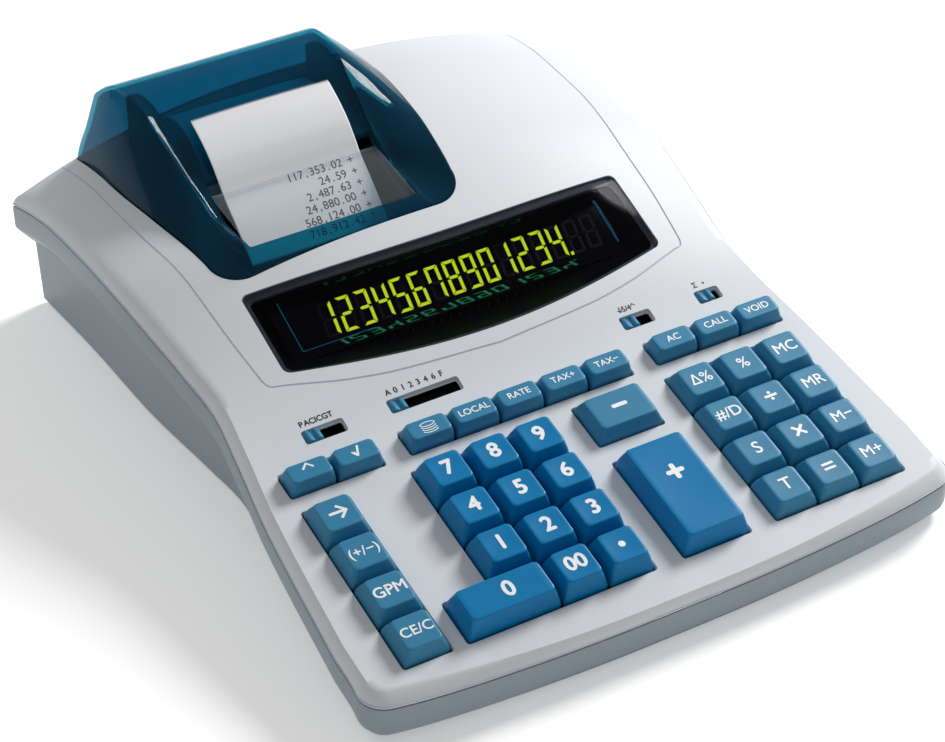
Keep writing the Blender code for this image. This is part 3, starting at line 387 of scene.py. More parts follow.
class Repeat:
    """Geometry Nodes trees that repeat one shape along a line or over points."""

    @staticmethod
    def tree(name: str, shape: Piece, finish: Material) -> bpy.types.NodeTree:
        """A tree that sets a shape on each point of the mesh it is given.

        Args:
            name: The tree's name.
            shape: The shape that is repeated, about the origin.
            finish: The material that the result gets.

        Returns:
            The tree, with inputs for the shape's size and a random turn about Z.
        """
        tree = bpy.data.node_groups.new(name, "GeometryNodeTree")
        face = tree.interface
        face.new_socket("Geometry", in_out="INPUT", socket_type="NodeSocketGeometry")
        size = face.new_socket("Size", in_out="INPUT", socket_type="NodeSocketFloat")
        size.default_value = 1.0
        wander = face.new_socket("Turn", in_out="INPUT", socket_type="NodeSocketFloat")
        wander.default_value = 0.0
        face.new_socket("Geometry", in_out="OUTPUT", socket_type="NodeSocketGeometry")
        nodes, links = tree.nodes, tree.links
        start = nodes.new("NodeGroupInput")
        end = nodes.new("NodeGroupOutput")
        source = nodes.new("GeometryNodeObjectInfo")
        source.inputs["Object"].default_value = shape
        spread = nodes.new("FunctionNodeRandomValue")
        spread.data_type = "FLOAT"
        spread.inputs["Seed"].default_value = 7
        turned = nodes.new("ShaderNodeCombineXYZ")
        place = nodes.new("GeometryNodeInstanceOnPoints")
        real = nodes.new("GeometryNodeRealizeInstances")
        coat = nodes.new("GeometryNodeSetMaterial")
        coat.inputs["Material"].default_value = finish
        wire(links, (start, "Geometry", place, "Points"), (source, "Geometry", place, "Instance"),
             (start, "Size", place, "Scale"), (start, "Turn", spread, "Max"), (spread, "Value", turned, "Z"),
             (turned, "Vector", place, "Rotation"), (place, "Instances", real, "Geometry"),
             (real, "Geometry", coat, "Geometry"), (coat, "Geometry", end, "Geometry"))
        return tree

    @staticmethod
    def along(name: str, points: Sequence[Vector], shape: Piece, finish: Material,
              size: float = 1.0, turn: float = 0.0) -> Piece:
        """Repeats a shape at points and returns the plain result.

        Args:
            name: The new piece's name.
            points: Where the shape goes.
            shape: The shape, about the origin; it is removed afterwards.
            finish: The material.
            size: Scale of each copy.
            turn: Largest random turn about Z, in radians.

        Returns:
            The piece, as a plain mesh.
        """
        mesh = bpy.data.meshes.new(name)
        mesh.from_pydata([tuple(p) for p in points], [], [])
        holder = Maker.add(name, mesh, None)
        tree = Repeat.tree(name + "_rule", shape, finish)
        step = holder.modifiers.new("repeat", "NODES")
        step.node_group = tree
        values = {"Size": size, "Turn": turn}
        for socket in tree.interface.items_tree:
            if socket.in_out == "INPUT" and socket.name in values:
                step[socket.identifier] = values[socket.name]
        Maker.apply(holder)
        bpy.data.objects.remove(shape)
        return holder


# ---- finishes
class Effects:
    """Shader node groups that more than one finish uses, each built once."""

    @staticmethod
    def grain() -> bpy.types.NodeTree:
        """Fine moulded texture: a height for bumps, a roughness that wanders, and a slow change of tone."""
        made = bpy.data.node_groups.get("moulded_grain")
        if made:
            return made
        tree = bpy.data.node_groups.new("moulded_grain", "ShaderNodeTree")
        face = tree.interface
        face.new_socket("Vector", in_out="INPUT", socket_type="NodeSocketVector")
        for name, value in (("Scale", 1500.0), ("Roughness", 0.4), ("Wander", 0.08), ("Tone Scale", 14.0)):
            socket = face.new_socket(name, in_out="INPUT", socket_type="NodeSocketFloat")
            socket.default_value = value
        for name in ("Height", "Roughness", "Tone"):
            face.new_socket(name, in_out="OUTPUT", socket_type="NodeSocketFloat")
        nodes, links = tree.nodes, tree.links
        start, end = nodes.new("NodeGroupInput"), nodes.new("NodeGroupOutput")
        fine, cells, slow = (nodes.new("ShaderNodeTexNoise"), nodes.new("ShaderNodeTexVoronoi"),
                             nodes.new("ShaderNodeTexNoise"))
        fine.inputs["Detail"].default_value = 3.0
        preset(slow, {"Detail": 4.0, "Roughness": 0.6})
        cells.feature = "SMOOTH_F1"
        height = nodes.new("ShaderNodeMath")
        height.operation = "MULTIPLY_ADD"
        height.inputs[1].default_value = 0.6
        for texture in (fine, cells, slow):
            wire(links, (start, "Vector", texture, "Vector"))
        wire(links, (start, "Scale", fine, "Scale"), (start, "Scale", cells, "Scale"),
             (start, "Tone Scale", slow, "Scale"), (fine, "Fac", height, 0), (cells, "Distance", height, 2),
             (height, "Value", end, "Height"))
        centred = nodes.new("ShaderNodeMath")
        centred.operation = "SUBTRACT"
        centred.inputs[1].default_value = 0.5
        wander = nodes.new("ShaderNodeMath")
        wander.operation = "MULTIPLY_ADD"
        wire(links, (slow, "Fac", centred, 0), (centred, "Value", wander, 0), (start, "Wander", wander, 1),
             (start, "Roughness", wander, 2), (wander, "Value", end, "Roughness"), (slow, "Fac", end, "Tone"))
        return tree

    @staticmethod
    def dust() -> bpy.types.NodeTree:
        """Faint specks, as a mask that is mostly nothing."""
        made = bpy.data.node_groups.get("dust_specks")
        if made:
            return made
        tree = bpy.data.node_groups.new("dust_specks", "ShaderNodeTree")
        face = tree.interface
        face.new_socket("Vector", in_out="INPUT", socket_type="NodeSocketVector")
        for name, value in (("Scale", 420.0), ("Amount", 0.3)):
            socket = face.new_socket(name, in_out="INPUT", socket_type="NodeSocketFloat")
            socket.default_value = value
        face.new_socket("Mask", in_out="OUTPUT", socket_type="NodeSocketFloat")
        nodes, links = tree.nodes, tree.links
        start, end = nodes.new("NodeGroupInput"), nodes.new("NodeGroupOutput")
        specks = nodes.new("ShaderNodeTexNoise")
        specks.inputs["Detail"].default_value = 1.0
        peak = nodes.new("ShaderNodeMapRange")
        preset(peak, {"From Min": 0.66, "From Max": 0.80})
        share = nodes.new("ShaderNodeMath")
        share.operation = "MULTIPLY"
        wire(links, (start, "Vector", specks, "Vector"), (start, "Scale", specks, "Scale"),
             (specks, "Fac", peak, "Value"), (peak, "Result", share, 0), (start, "Amount", share, 1),
             (share, "Value", end, "Mask"))
        return tree


@dataclass(frozen=True)
class Moulded:
    """Plastic, rubber, felt, paper or painted sheet: grain, wandering gloss, slow change of tone, dust."""

    name: str
    colour: Colour
    roughness: float = 0.42
    grain: float = 1500.0
    depth: float = 0.00002
    wander: float = 0.10
    tone: float = 0.06
    tone_scale: float = 14.0
    dust: float = 0.15
    metallic: float = 0.0
    coat: float = 0.0
    ior: float = 1.49
    specular: float = 0.5
    sheen: float = 0.0

    def make(self) -> Material:
        """Builds the material.

        Returns:
            A node material that reads Object coordinates.
        """
        made = bpy.data.materials.new(self.name)
        made.use_nodes = True
        nodes, links = made.node_tree.nodes, made.node_tree.links
        shader = nodes["Principled BSDF"]
        where = nodes.new("ShaderNodeTexCoord")
        grain = nodes.new("ShaderNodeGroup")
        grain.node_tree = Effects.grain()
        preset(grain, {"Scale": self.grain, "Roughness": self.roughness, "Wander": self.wander,
               "Tone Scale": self.tone_scale})
        dust = nodes.new("ShaderNodeGroup")
        dust.node_tree = Effects.dust()
        dust.inputs["Amount"].default_value = self.dust
        tone = nodes.new("ShaderNodeMix")
        tone.data_type = "RGBA"
        low, high = (tuple(min(1.0, c * k) for c in self.colour) for k in (1 - self.tone, 1 + self.tone))
        preset(tone, {"A": (*low, 1.0), "B": (*high, 1.0)})
        specks = nodes.new("ShaderNodeMix")
        specks.data_type = "RGBA"
        grey = sum(self.colour) / 3
        specks.inputs["B"].default_value = (*(0.5 * c + 0.25 + 0.2 * grey for c in self.colour), 1.0)
        bump = nodes.new("ShaderNodeBump")
        preset(bump, {"Distance": self.depth, "Strength": 1.0})
        for group in (grain, dust):
            wire(links, (where, "Object", group, "Vector"))
        wire(links, (grain, "Tone", tone, "Factor"), (tone, "Result", specks, "A"),
             (dust, "Mask", specks, "Factor"), (specks, "Result", shader, "Base Color"),
             (grain, "Roughness", shader, "Roughness"), (grain, "Height", bump, "Height"),
             (bump, "Normal", shader, "Normal"))
        preset(shader, {"Metallic": self.metallic, "Coat Weight": self.coat, "Coat Roughness": 0.08,
               "IOR": self.ior, "Specular IOR Level": self.specular, "Sheen Weight": self.sheen})
        made.diffuse_color = (*self.colour, 1.0)
        return made


@dataclass(frozen=True)
class Tinted:
    """See-through plastic: what lies behind it is tinted, and its own skin shows more at a slant."""

    name: str
    colour: Colour
    tint: Colour
    solid: float
    roughness: float
    specular: float = 0.5
    grain: float = 320.0
    depth: float = 0.000002

    def make(self) -> Material:
        """Builds the material.

        Returns:
            A mix of a tinted clear shader and a glossy one, by how much of the plastic is solid.
        """
        made = Moulded(self.name, self.colour, self.roughness, grain=self.grain, depth=self.depth, wander=0.05,
                       dust=0.04, specular=self.specular).make()
        nodes, links = made.node_tree.nodes, made.node_tree.links
        clear = nodes.new("ShaderNodeBsdfTransparent")
        clear.inputs["Color"].default_value = (*self.tint, 1.0)
        slant = nodes.new("ShaderNodeLayerWeight")
        slant.inputs["Blend"].default_value = 0.5
        steep = nodes.new("ShaderNodeMath")
        steep.operation = "POWER"
        steep.inputs[1].default_value = 4.0
        share = nodes.new("ShaderNodeMath")
        share.operation = "MULTIPLY_ADD"
        preset(share, {1: 0.8 * (1 - self.solid), 2: self.solid})
        mix = nodes.new("ShaderNodeMixShader")
        wire(links, (slant, "Facing", steep, 0), (steep, "Value", share, 0), (share, "Value", mix, "Fac"),
             (clear, "BSDF", mix, 1), (nodes["Principled BSDF"], "BSDF", mix, 2),
             (mix, "Shader", nodes["Material Output"], "Surface"))
        return made


@dataclass(frozen=True)
class Glow:
    """A glowing mark on the display: a lit segment, painted reflections of lit segments, painted glints, and dark
    segments with a faint painted glow; even light with a slightly brighter heart.
    """

    name: str
    colour: Colour
    strength: float

    def make(self) -> Material:
        """Builds the material.

        Returns:
            An emissive material whose light wanders a little.
        """
        made = bpy.data.materials.new(self.name)
        made.use_nodes = True
        nodes, links = made.node_tree.nodes, made.node_tree.links
        shader = nodes["Principled BSDF"]
        where = nodes.new("ShaderNodeTexCoord")
        grain = nodes.new("ShaderNodeGroup")
        grain.node_tree = Effects.grain()
        grain.inputs["Scale"].default_value = 900.0
        tone = nodes.new("ShaderNodeMix")
        tone.data_type = "RGBA"
        preset(tone, {"A": (*(0.88 * c for c in self.colour), 1.0), "B": (*self.colour, 1.0)})
        wire(links, (where, "Object", grain, "Vector"), (grain, "Tone", tone, "Factor"),
             (tone, "Result", shader, "Emission Color"))
        preset(shader, {"Emission Strength": self.strength, "Base Color": (0.01, 0.01, 0.01, 1.0),
               "Roughness": 0.5})
        return made


FINISHES = (
    Moulded("case_top_plastic", (0.67, 0.695, 0.725), 0.50, specular=0.3, tone=0.02, dust=0.05, depth=0.000012),
    Moulded("case_base_plastic", (0.25, 0.30, 0.335), 0.46, tone=0.04, dust=0.08),
    Moulded("figure_key_plastic", (0.0, 0.185, 0.43), 0.32, tone=0.04, dust=0.02, depth=0.000006,
            specular=0.22),
    Moulded("function_key_plastic", (0.034, 0.215, 0.375), 0.36, tone=0.04, dust=0.03, depth=0.000006,
            specular=0.25),
    Moulded("legend_white", (0.88, 0.90, 0.92), 0.45, tone=0.02, dust=0.0, depth=0.000004),
    Moulded("scale_ink", (0.012, 0.012, 0.016), 0.55, tone=0.10, dust=0.0, depth=0.000004),
    Tinted("smoked_cover", (0.0, 0.080, 0.155), (0.12, 0.58, 0.70), 0.24, 0.07),
    Tinted("window_smoke", (0.003, 0.003, 0.006), (0.55, 0.55, 0.60), 0.10, 0.05, specular=0.30),
    Moulded("tube_glass", (0.004, 0.006, 0.008), 0.08, grain=300.0, depth=0.000001, dust=0.0),
    Tinted("clear_bar", (0.70, 0.80, 0.85), (0.975, 0.985, 0.99), 0.03, 0.06),
    Moulded("strip_paper", (0.86, 0.865, 0.885), 0.85, grain=2600.0, depth=0.00002, tone=0.02, dust=0.0,
            specular=0.2),
    Moulded("print_ink", (0.045, 0.045, 0.060), 0.80, grain=2600.0, tone=0.35, tone_scale=700.0, dust=0.0,
            depth=0.000004),
    Moulded("roller_rubber", (0.020, 0.020, 0.022), 0.75, grain=900.0, depth=0.00003, tone=0.15),
    Moulded("inside_black", (0.010, 0.011, 0.013), 0.45, tone=0.15, dust=0.10),
    Moulded("board_lacquer", (0.012, 0.11, 0.045), 0.35, tone=0.12, tone_scale=60.0, dust=0.15, coat=0.4),
    Moulded("sheet_steel", (0.55, 0.56, 0.58), 0.34, grain=700.0, metallic=0.95, tone=0.06, wander=0.2),
    Moulded("ink_felt", (0.030, 0.012, 0.055), 0.95, grain=1800.0, depth=0.0001, tone=0.3, sheen=0.4, dust=0.0),
    Moulded("copper_winding", (0.45, 0.16, 0.05), 0.35, grain=700.0, metallic=0.9, tone=0.1),
    Moulded("brass_pin", (0.72, 0.52, 0.22), 0.25, grain=700.0, metallic=1.0, tone=0.05),
    Moulded("chip_black", (0.015, 0.015, 0.017), 0.55, tone=0.1),
    Glow("lit_segment", (0.62, 0.80, 0.012), 3.2),
    # Painted reflections of the lit figures in the glass edges: emissive copies, brighter in front and fainter
    # behind.
    Glow("mirrored_segment", (0.03, 0.50, 0.17), 1.1),
    Glow("faint_segment", (0.02, 0.30, 0.13), 0.32),
    # Painted glint: emissive colour for the light caught by the tube's glass edges.
    Glow("edge_light", (0.0, 0.25, 0.36), 1.0),
    # Unlit segments are dark with a faint painted glow that keeps them just visible.
    Glow("unlit_segment", (0.010, 0.014, 0.014), 0.30),
)


class Palette:
    """Every finish, made once and found by name."""

    def __init__(self) -> None:
        """Makes the materials."""
        self.made = {finish.name: finish.make() for finish in FINISHES}

    def __getitem__(self, name: str) -> Material:
        """The material of that name."""
        return self.made[name]


# ---- shape of the case
@dataclass
class CaseShape:
    """The surface of the upper case, which everything on it follows."""

    front: float
    rear: float
    front_width: float = 0.2380
    waist_width: float = 0.2174
    width: float = 0.2414
    slope: float = math.radians(11.0)
    front_height: float = 0.01851
    deck_length: float = 0.105
    reference: float = 0.0180
    waist_from_front: float = 0.141
    shoulder_out: float = 0.0037
    shoulder_out_middle: float = 0.0017
    shoulder_out_corner: float = 0.0048
    shoulder_drop: float = 0.0049
    crown_power: float = 2.3
    rear_shoulder: float = 0.0541
    peak_shoulder: float = 0.0618
    peak_from_rear: float = 0.068
    wall: float = 0.0025

    def __post_init__(self) -> None:
        """Sets up the curves along the case."""
        front, rear = self.front, self.rear
        deck_rear, waist = front + self.deck_length, front + self.waist_from_front
        peak = rear - self.peak_from_rear
        half = [w / 2 - self.shoulder_out for w in (self.front_width, self.waist_width, self.width)]
        self.side = Curve(
            (front + 0.033, half[0]), (front + 0.090, half[0] - 0.0045), (waist - 0.021, half[1] + 0.0019),
            (waist, half[1]), (waist + 0.022, half[1] + 0.0021), (waist + 0.066, half[1] + 0.0068),
            (rear - 0.044, half[2] - 0.0033), (rear, half[2]))
        high = self.peak_shoulder
        self.shoulder = Curve(
            (front, self.deck_height(front)), (deck_rear, self.deck_height(deck_rear)),
            (waist + 0.006, self.deck_height(waist + 0.006) + 0.0026), (peak - 0.048, high - 0.0053),
            (peak - 0.020, high - 0.0007), (peak, high), (peak + 0.022, high - 0.0006),
            (peak + 0.037, high - 0.0012), (rear - 0.016, self.rear_shoulder + 0.0041),
            (rear, self.rear_shoulder))
        self.crown = Curve(
            (front, 0.0), (deck_rear, 0.0), (waist, 0.0058), (waist + 0.036, 0.0133), (peak - 0.015, 0.0180),
            (peak + 0.022, 0.0205), (rear, 0.0214))

    def deck_height(self, y: float) -> float:
        """Height of the keyboard's plane at y."""
        return self.front_height + math.tan(self.slope) * (y - self.front)

    def top(self, x: float, y: float) -> float:
        """Height of the upper case at (x, y)."""
        across = min(abs(x) / self.side(y), 1.0)
        return self.shoulder(y) + self.crown(y) * (1 - across ** self.crown_power)

    def deck(self, across: float, back: float, up: float = 0.0) -> Vector:
        """A place given on the sloping deck.

        Args:
            across: Distance to the right of the middle.
            back: Distance up the slope from the keyboard's reference line.
            up: Height square to the deck.

        Returns:
            The place.
        """
        foot = self.front + self.reference
        cos, sin = math.cos(self.slope), math.sin(self.slope)
        return Vector((across, foot + back * cos - up * sin, self.deck_height(foot) + back * sin + up * cos))

    def over(self, x: float, y: float, up: float = 0.0) -> Vector:
        """A place over (x, y) on the case's top, lifted straight up."""
        return Vector((x, y, self.top(x, y) + up))


@dataclass
class CaseShell:
    """The upper and lower case and the seam between them."""

    shape: CaseShape
    palette: Palette
    front_bow: float = 0.0080
    corner: float = 0.0060
    flat_half: float = 0.014
    rim: float = 0.0105
    undercut: float = 0.0075
    undercut_drop: float = 0.0095
    base: float = 0.0015
    seam: float = 0.0004
    across: int = 88
    bow_steps: int = 26
    corner_steps: int = 16
    side_steps: int = 104
    groove_width: float = 0.0007
    groove_depth: float = 0.0006

    def __post_init__(self) -> None:
        """Works out the shoulder line that both shells follow."""
        shape = self.shape
        reach = shape.front_width / 2 - shape.shoulder_out
        centre = reach - self.corner
        lean = math.atan((self.front_edge(centre) - self.front_edge(centre - 0.001)) / 0.001)
        touch = centre + self.corner * math.sin(lean)
        middle = self.front_edge(touch) + self.corner * math.cos(lean)
        points = []
        for i in range(self.bow_steps):
            x = self.flat_half + (touch - self.flat_half) * i / self.bow_steps
            points.append(Vector((x, self.front_edge(x))))
        for i in range(self.corner_steps + 1):
            turn = lean + (math.pi / 2 - lean) * i / self.corner_steps
            points.append(Vector((centre + self.corner * math.sin(turn),
                                  middle - self.corner * math.cos(turn))))
        for i in range(1, self.side_steps + 1):
            y = middle + (shape.rear - middle) * i / self.side_steps
            points.append(Vector((shape.side(y), y)))
        normals = []
        for i in range(len(points)):
            step = points[min(i + 1, len(points) - 1)] - points[max(i - 1, 0)]
            normals.append(Vector((step.y, -step.x)).normalized())
        normals[0], normals[-1] = Vector((0.0, -1.0)), Vector((1.0, 0.0))
        self.points, self.normals = points, normals
        line = self.front_edge(centre)
        self.spread = Curve(
            (shape.front + shape.shoulder_out_middle, shape.shoulder_out_middle),
            (line, shape.shoulder_out_corner),
            (line + 2 * self.corner, shape.shoulder_out), (shape.rear, shape.shoulder_out))

    def front_edge(self, x: float) -> float:
        """The bowed front line of the top at x."""
        shape = self.shape
        reach = shape.front_width / 2 - shape.shoulder_out - 0.0095
        share = (x - self.flat_half) / (reach - self.flat_half)
        return shape.front + shape.shoulder_out_middle + self.front_bow * share ** 2

    def ring(self, outward: Callable[[float], float], height: Callable[[float], float], rear_inset: float = 0.0,
             arched: Callable[[float, float], float] | None = None) -> list[Vector]:
        """A closed row of points round the case.

        Args:
            outward: Distance from the shoulder line, over y.
            height: Height, over y.
            rear_inset: How far inside the rear face it ends.
            arched: Height over x and y of the front and rear rungs, where they are not straight.

        Returns:
            The points: right side, rear, left side, front.
        """
        right = []
        for point, normal in zip(self.points, self.normals):
            out = outward(point.y)
            y = min(point.y + normal.y * out, self.shape.rear - rear_inset)
            right.append(Vector((point.x + normal.x * out, y, height(point.y))))
        shares = [2 * j / self.across - 1 for j in range(1, self.across)]

        def rung(end: Vector) -> list[Vector]:
            """The points between the two sides at one end."""
            return [Vector((end.x * s, end.y, arched(end.x * s, end.y) if arched else end.z)) for s in shares]
        left = [Vector((-p.x, p.y, p.z)) for p in reversed(right)]
        return right + list(reversed(rung(right[-1]))) + left + rung(right[0])

    def close(self, bm: BMesh, verts: list, surface: Callable[[float, float], float]) -> None:
        """Closes a ring with a grid at the height that a surface gives.

        Args:
            bm: Mesh that holds the ring.
            verts: The ring's vertices.
            surface: Height over x and y.
        """
        count = len(self.points)
        rear = list(reversed(verts[count:count + self.across - 1]))
        left = list(reversed(verts[count + self.across - 1:2 * count + self.across - 1]))
        front = verts[2 * count + self.across - 1:]
        rungs = []
        for k in range(count):
            if k == 0:
                middle = front
            elif k == count - 1:
                middle = rear
            else:
                start, end = left[k].co, verts[k].co
                middle = []
                for j in range(1, self.across):
                    x = start.x + (end.x - start.x) * j / self.across
                    middle.append(bm.verts.new((x, start.y, surface(x, start.y))))
            rungs.append([left[k], *middle, verts[k]])
        for low, high in zip(rungs, rungs[1:]):
            for j in range(self.across):
                bm.faces.new((low[j], low[j + 1], high[j + 1], high[j]))

    def shell(self, name: str, rings: list, first: Callable, last: Callable, finish: str) -> Piece:
        """A closed shell skinned over rings.

        Args:
            name: The piece's name.
            rings: Rows of points from the outside round to the inside.
            first: Height of the grid that closes the first ring.
            last: Height of the grid that closes the last ring.
            finish: Name of its finish.

        Returns:
            The shell.
        """
        bm = bmesh.new()
        loops = Maker.skin(bm, rings)
        self.close(bm, loops[0], first)
        self.close(bm, loops[-1], last)
        return Maker.build(name, bm, self.palette[finish], smooth=32)

    def parting(self, y: float) -> float:
        """Height of the seam between the shells at y."""
        return self.shape.shoulder(y) - self.shape.shoulder_drop

    def inside(self, inset: float) -> Callable[[float], float]:
        """A line that lies a distance inside the widest one."""
        return lambda y: self.spread(y) - inset

    def level(self, rise: float) -> Callable[[float], float]:
        """A height over the seam, all along the case."""
        return lambda y: self.parting(y) + rise

    def upper(self) -> Piece:
        """The upper shell before anything is cut in it."""
        shape, wall = self.shape, self.shape.wall
        rings = [self.ring(lambda y: 0.0, shape.shoulder, 0.0022, shape.top)]
        for turn, inset in ((15, 0.0012), (32, 0.0005), (50, 0.0001), (66, 0.0), (82, 0.0)):
            angle = math.radians(turn)
            out = 0.35 * math.sin(angle) + 0.65 * turn / 90
            down = 0.35 * (1 - math.cos(angle)) + 0.65 * turn / 90
            rings.append(self.ring(
                lambda y, o=out: self.spread(y) * o,
                lambda y, d=down: shape.shoulder(y) - shape.shoulder_drop * d,
                inset, lambda x, y, d=down: shape.top(x, y) - shape.shoulder_drop * d))
        rings.append(self.ring(self.spread, self.level(2 * self.seam)))
        rings.append(self.ring(self.inside(0.0001), self.level(self.seam), 0.0001))
        rings.append(self.ring(self.inside(0.0006), self.level(0.0002), 0.0006))
        rings.append(self.ring(self.inside(wall), self.level(0.00015), wall))
        rings.append(self.ring(lambda y: -wall, lambda y: shape.shoulder(y) - wall, wall,
                               lambda x, y: shape.top(x, y) - wall))
        return self.shell("upper_case", rings, shape.top, lambda x, y: shape.top(x, y) - wall,
                          "case_top_plastic")

    def lower(self) -> Piece:
        """The lower shell with its rounded rim, undercut and floor."""
        wall, base = self.shape.wall, self.base

        def rim_low(y: float) -> float:
            """Bottom of the upright band at y."""
            return self.parting(y) - self.rim

        def share(y: float) -> float:
            """How much of the full undercut there is room for at y."""
            return min(1.0, max(0.1, (rim_low(y) - base - 0.0006) / self.undercut_drop))

        def under(y: float) -> float:
            """Distance of the wall under the rim from the shoulder line at y."""
            return self.spread(y) - share(y) * self.undercut
        floor = base + wall
        rings = [
            self.ring(lambda y: under(y) - 0.0022 * share(y), lambda y: base),
            self.ring(lambda y: under(y) - 0.0006 * share(y), lambda y: base + 0.0004),
            self.ring(under, lambda y: rim_low(y) - share(y) * self.undercut_drop),
            self.ring(lambda y: self.spread(y) - 0.0016 * share(y),
                      lambda y: rim_low(y) - 0.0020 * share(y)),
            self.ring(self.inside(0.0004), lambda y: rim_low(y) - 0.0001),
            self.ring(self.inside(0.0001), lambda y: rim_low(y) + 0.0008),
            self.ring(self.spread, self.level(-0.0010)),
            self.ring(self.inside(0.0001), self.level(-self.seam), 0.0001),
            self.ring(self.inside(0.0006), self.level(-0.0002), 0.0006),
            self.ring(self.inside(wall), self.level(-0.00015), wall),
            self.ring(self.inside(wall), lambda y: rim_low(y) + 0.0015, wall),
            self.ring(lambda y: under(y) - wall,
                      lambda y: max(rim_low(y) - share(y) * self.undercut_drop + 0.0012, floor + 0.0004), wall),
            self.ring(lambda y: under(y) - wall - 0.0013, lambda y: floor, wall)]
        return self.shell("lower_case", rings, lambda x, y: base, lambda x, y: floor, "case_base_plastic")

    def seam_lip(self) -> Piece:
        """A dark inner lip that closes the seam from inside."""
        rings = [
            self.ring(self.inside(0.0012), self.level(0.0016), 0.0012),
            self.ring(self.inside(0.0012), self.level(-0.0016), 0.0012),
            self.ring(self.inside(0.0020), self.level(-0.0016), 0.0020),
            self.ring(self.inside(0.0020), self.level(0.0016), 0.0020)]
        bm = bmesh.new()
        loops = Maker.skin(bm, rings)
        for i in range(len(loops[0])):
            n = (i + 1) % len(loops[0])
            bm.faces.new((loops[-1][i], loops[0][i], loops[0][n], loops[-1][n]))
        return Maker.build("seam_lip", bm, self.palette["inside_black"])

    def groove(self, places: Sequence[tuple[float, float]]) -> Piece:
        """A cutter for a fine groove in the top that follows a line of places.

        Args:
            places: (x, y) along the groove.

        Returns:
            The cutter.
        """
        line = [Vector(p) for p in places]
        rows = []
        for i, point in enumerate(line):
            along = (line[min(i + 1, len(line) - 1)] - line[max(i - 1, 0)]).normalized()
            side = Vector((along.y, -along.x)) * self.groove_width / 2
            a, b = point + side, point - side
            rows.append([self.shape.over(a.x, a.y, 0.002), self.shape.over(a.x, a.y, -self.groove_depth * 0.4),
                         self.shape.over(point.x, point.y, -self.groove_depth),
                         self.shape.over(b.x, b.y, -self.groove_depth * 0.4), self.shape.over(b.x, b.y, 0.002)])
        bm = bmesh.new()
        Maker.plug(bm, rows)
        return Maker.build("groove", bm, None)


# ---- keyboard
@dataclass
class Legend:
    """What is printed on a key: words, their size, where they sit on the top face, and how bold they are."""

    words: str
    size: float = 0.0062
    across: float = 0.0
    back: float = 0.0
    bold: float = 0.012


@dataclass
class Key:
    """One key and where its middle is on the deck."""

    name: str
    across: float
    back: float
    legend: Legend
    width: float = 0.0175
    depth: float = 0.0175
    tall: bool = False
    taper: float = 0.00225


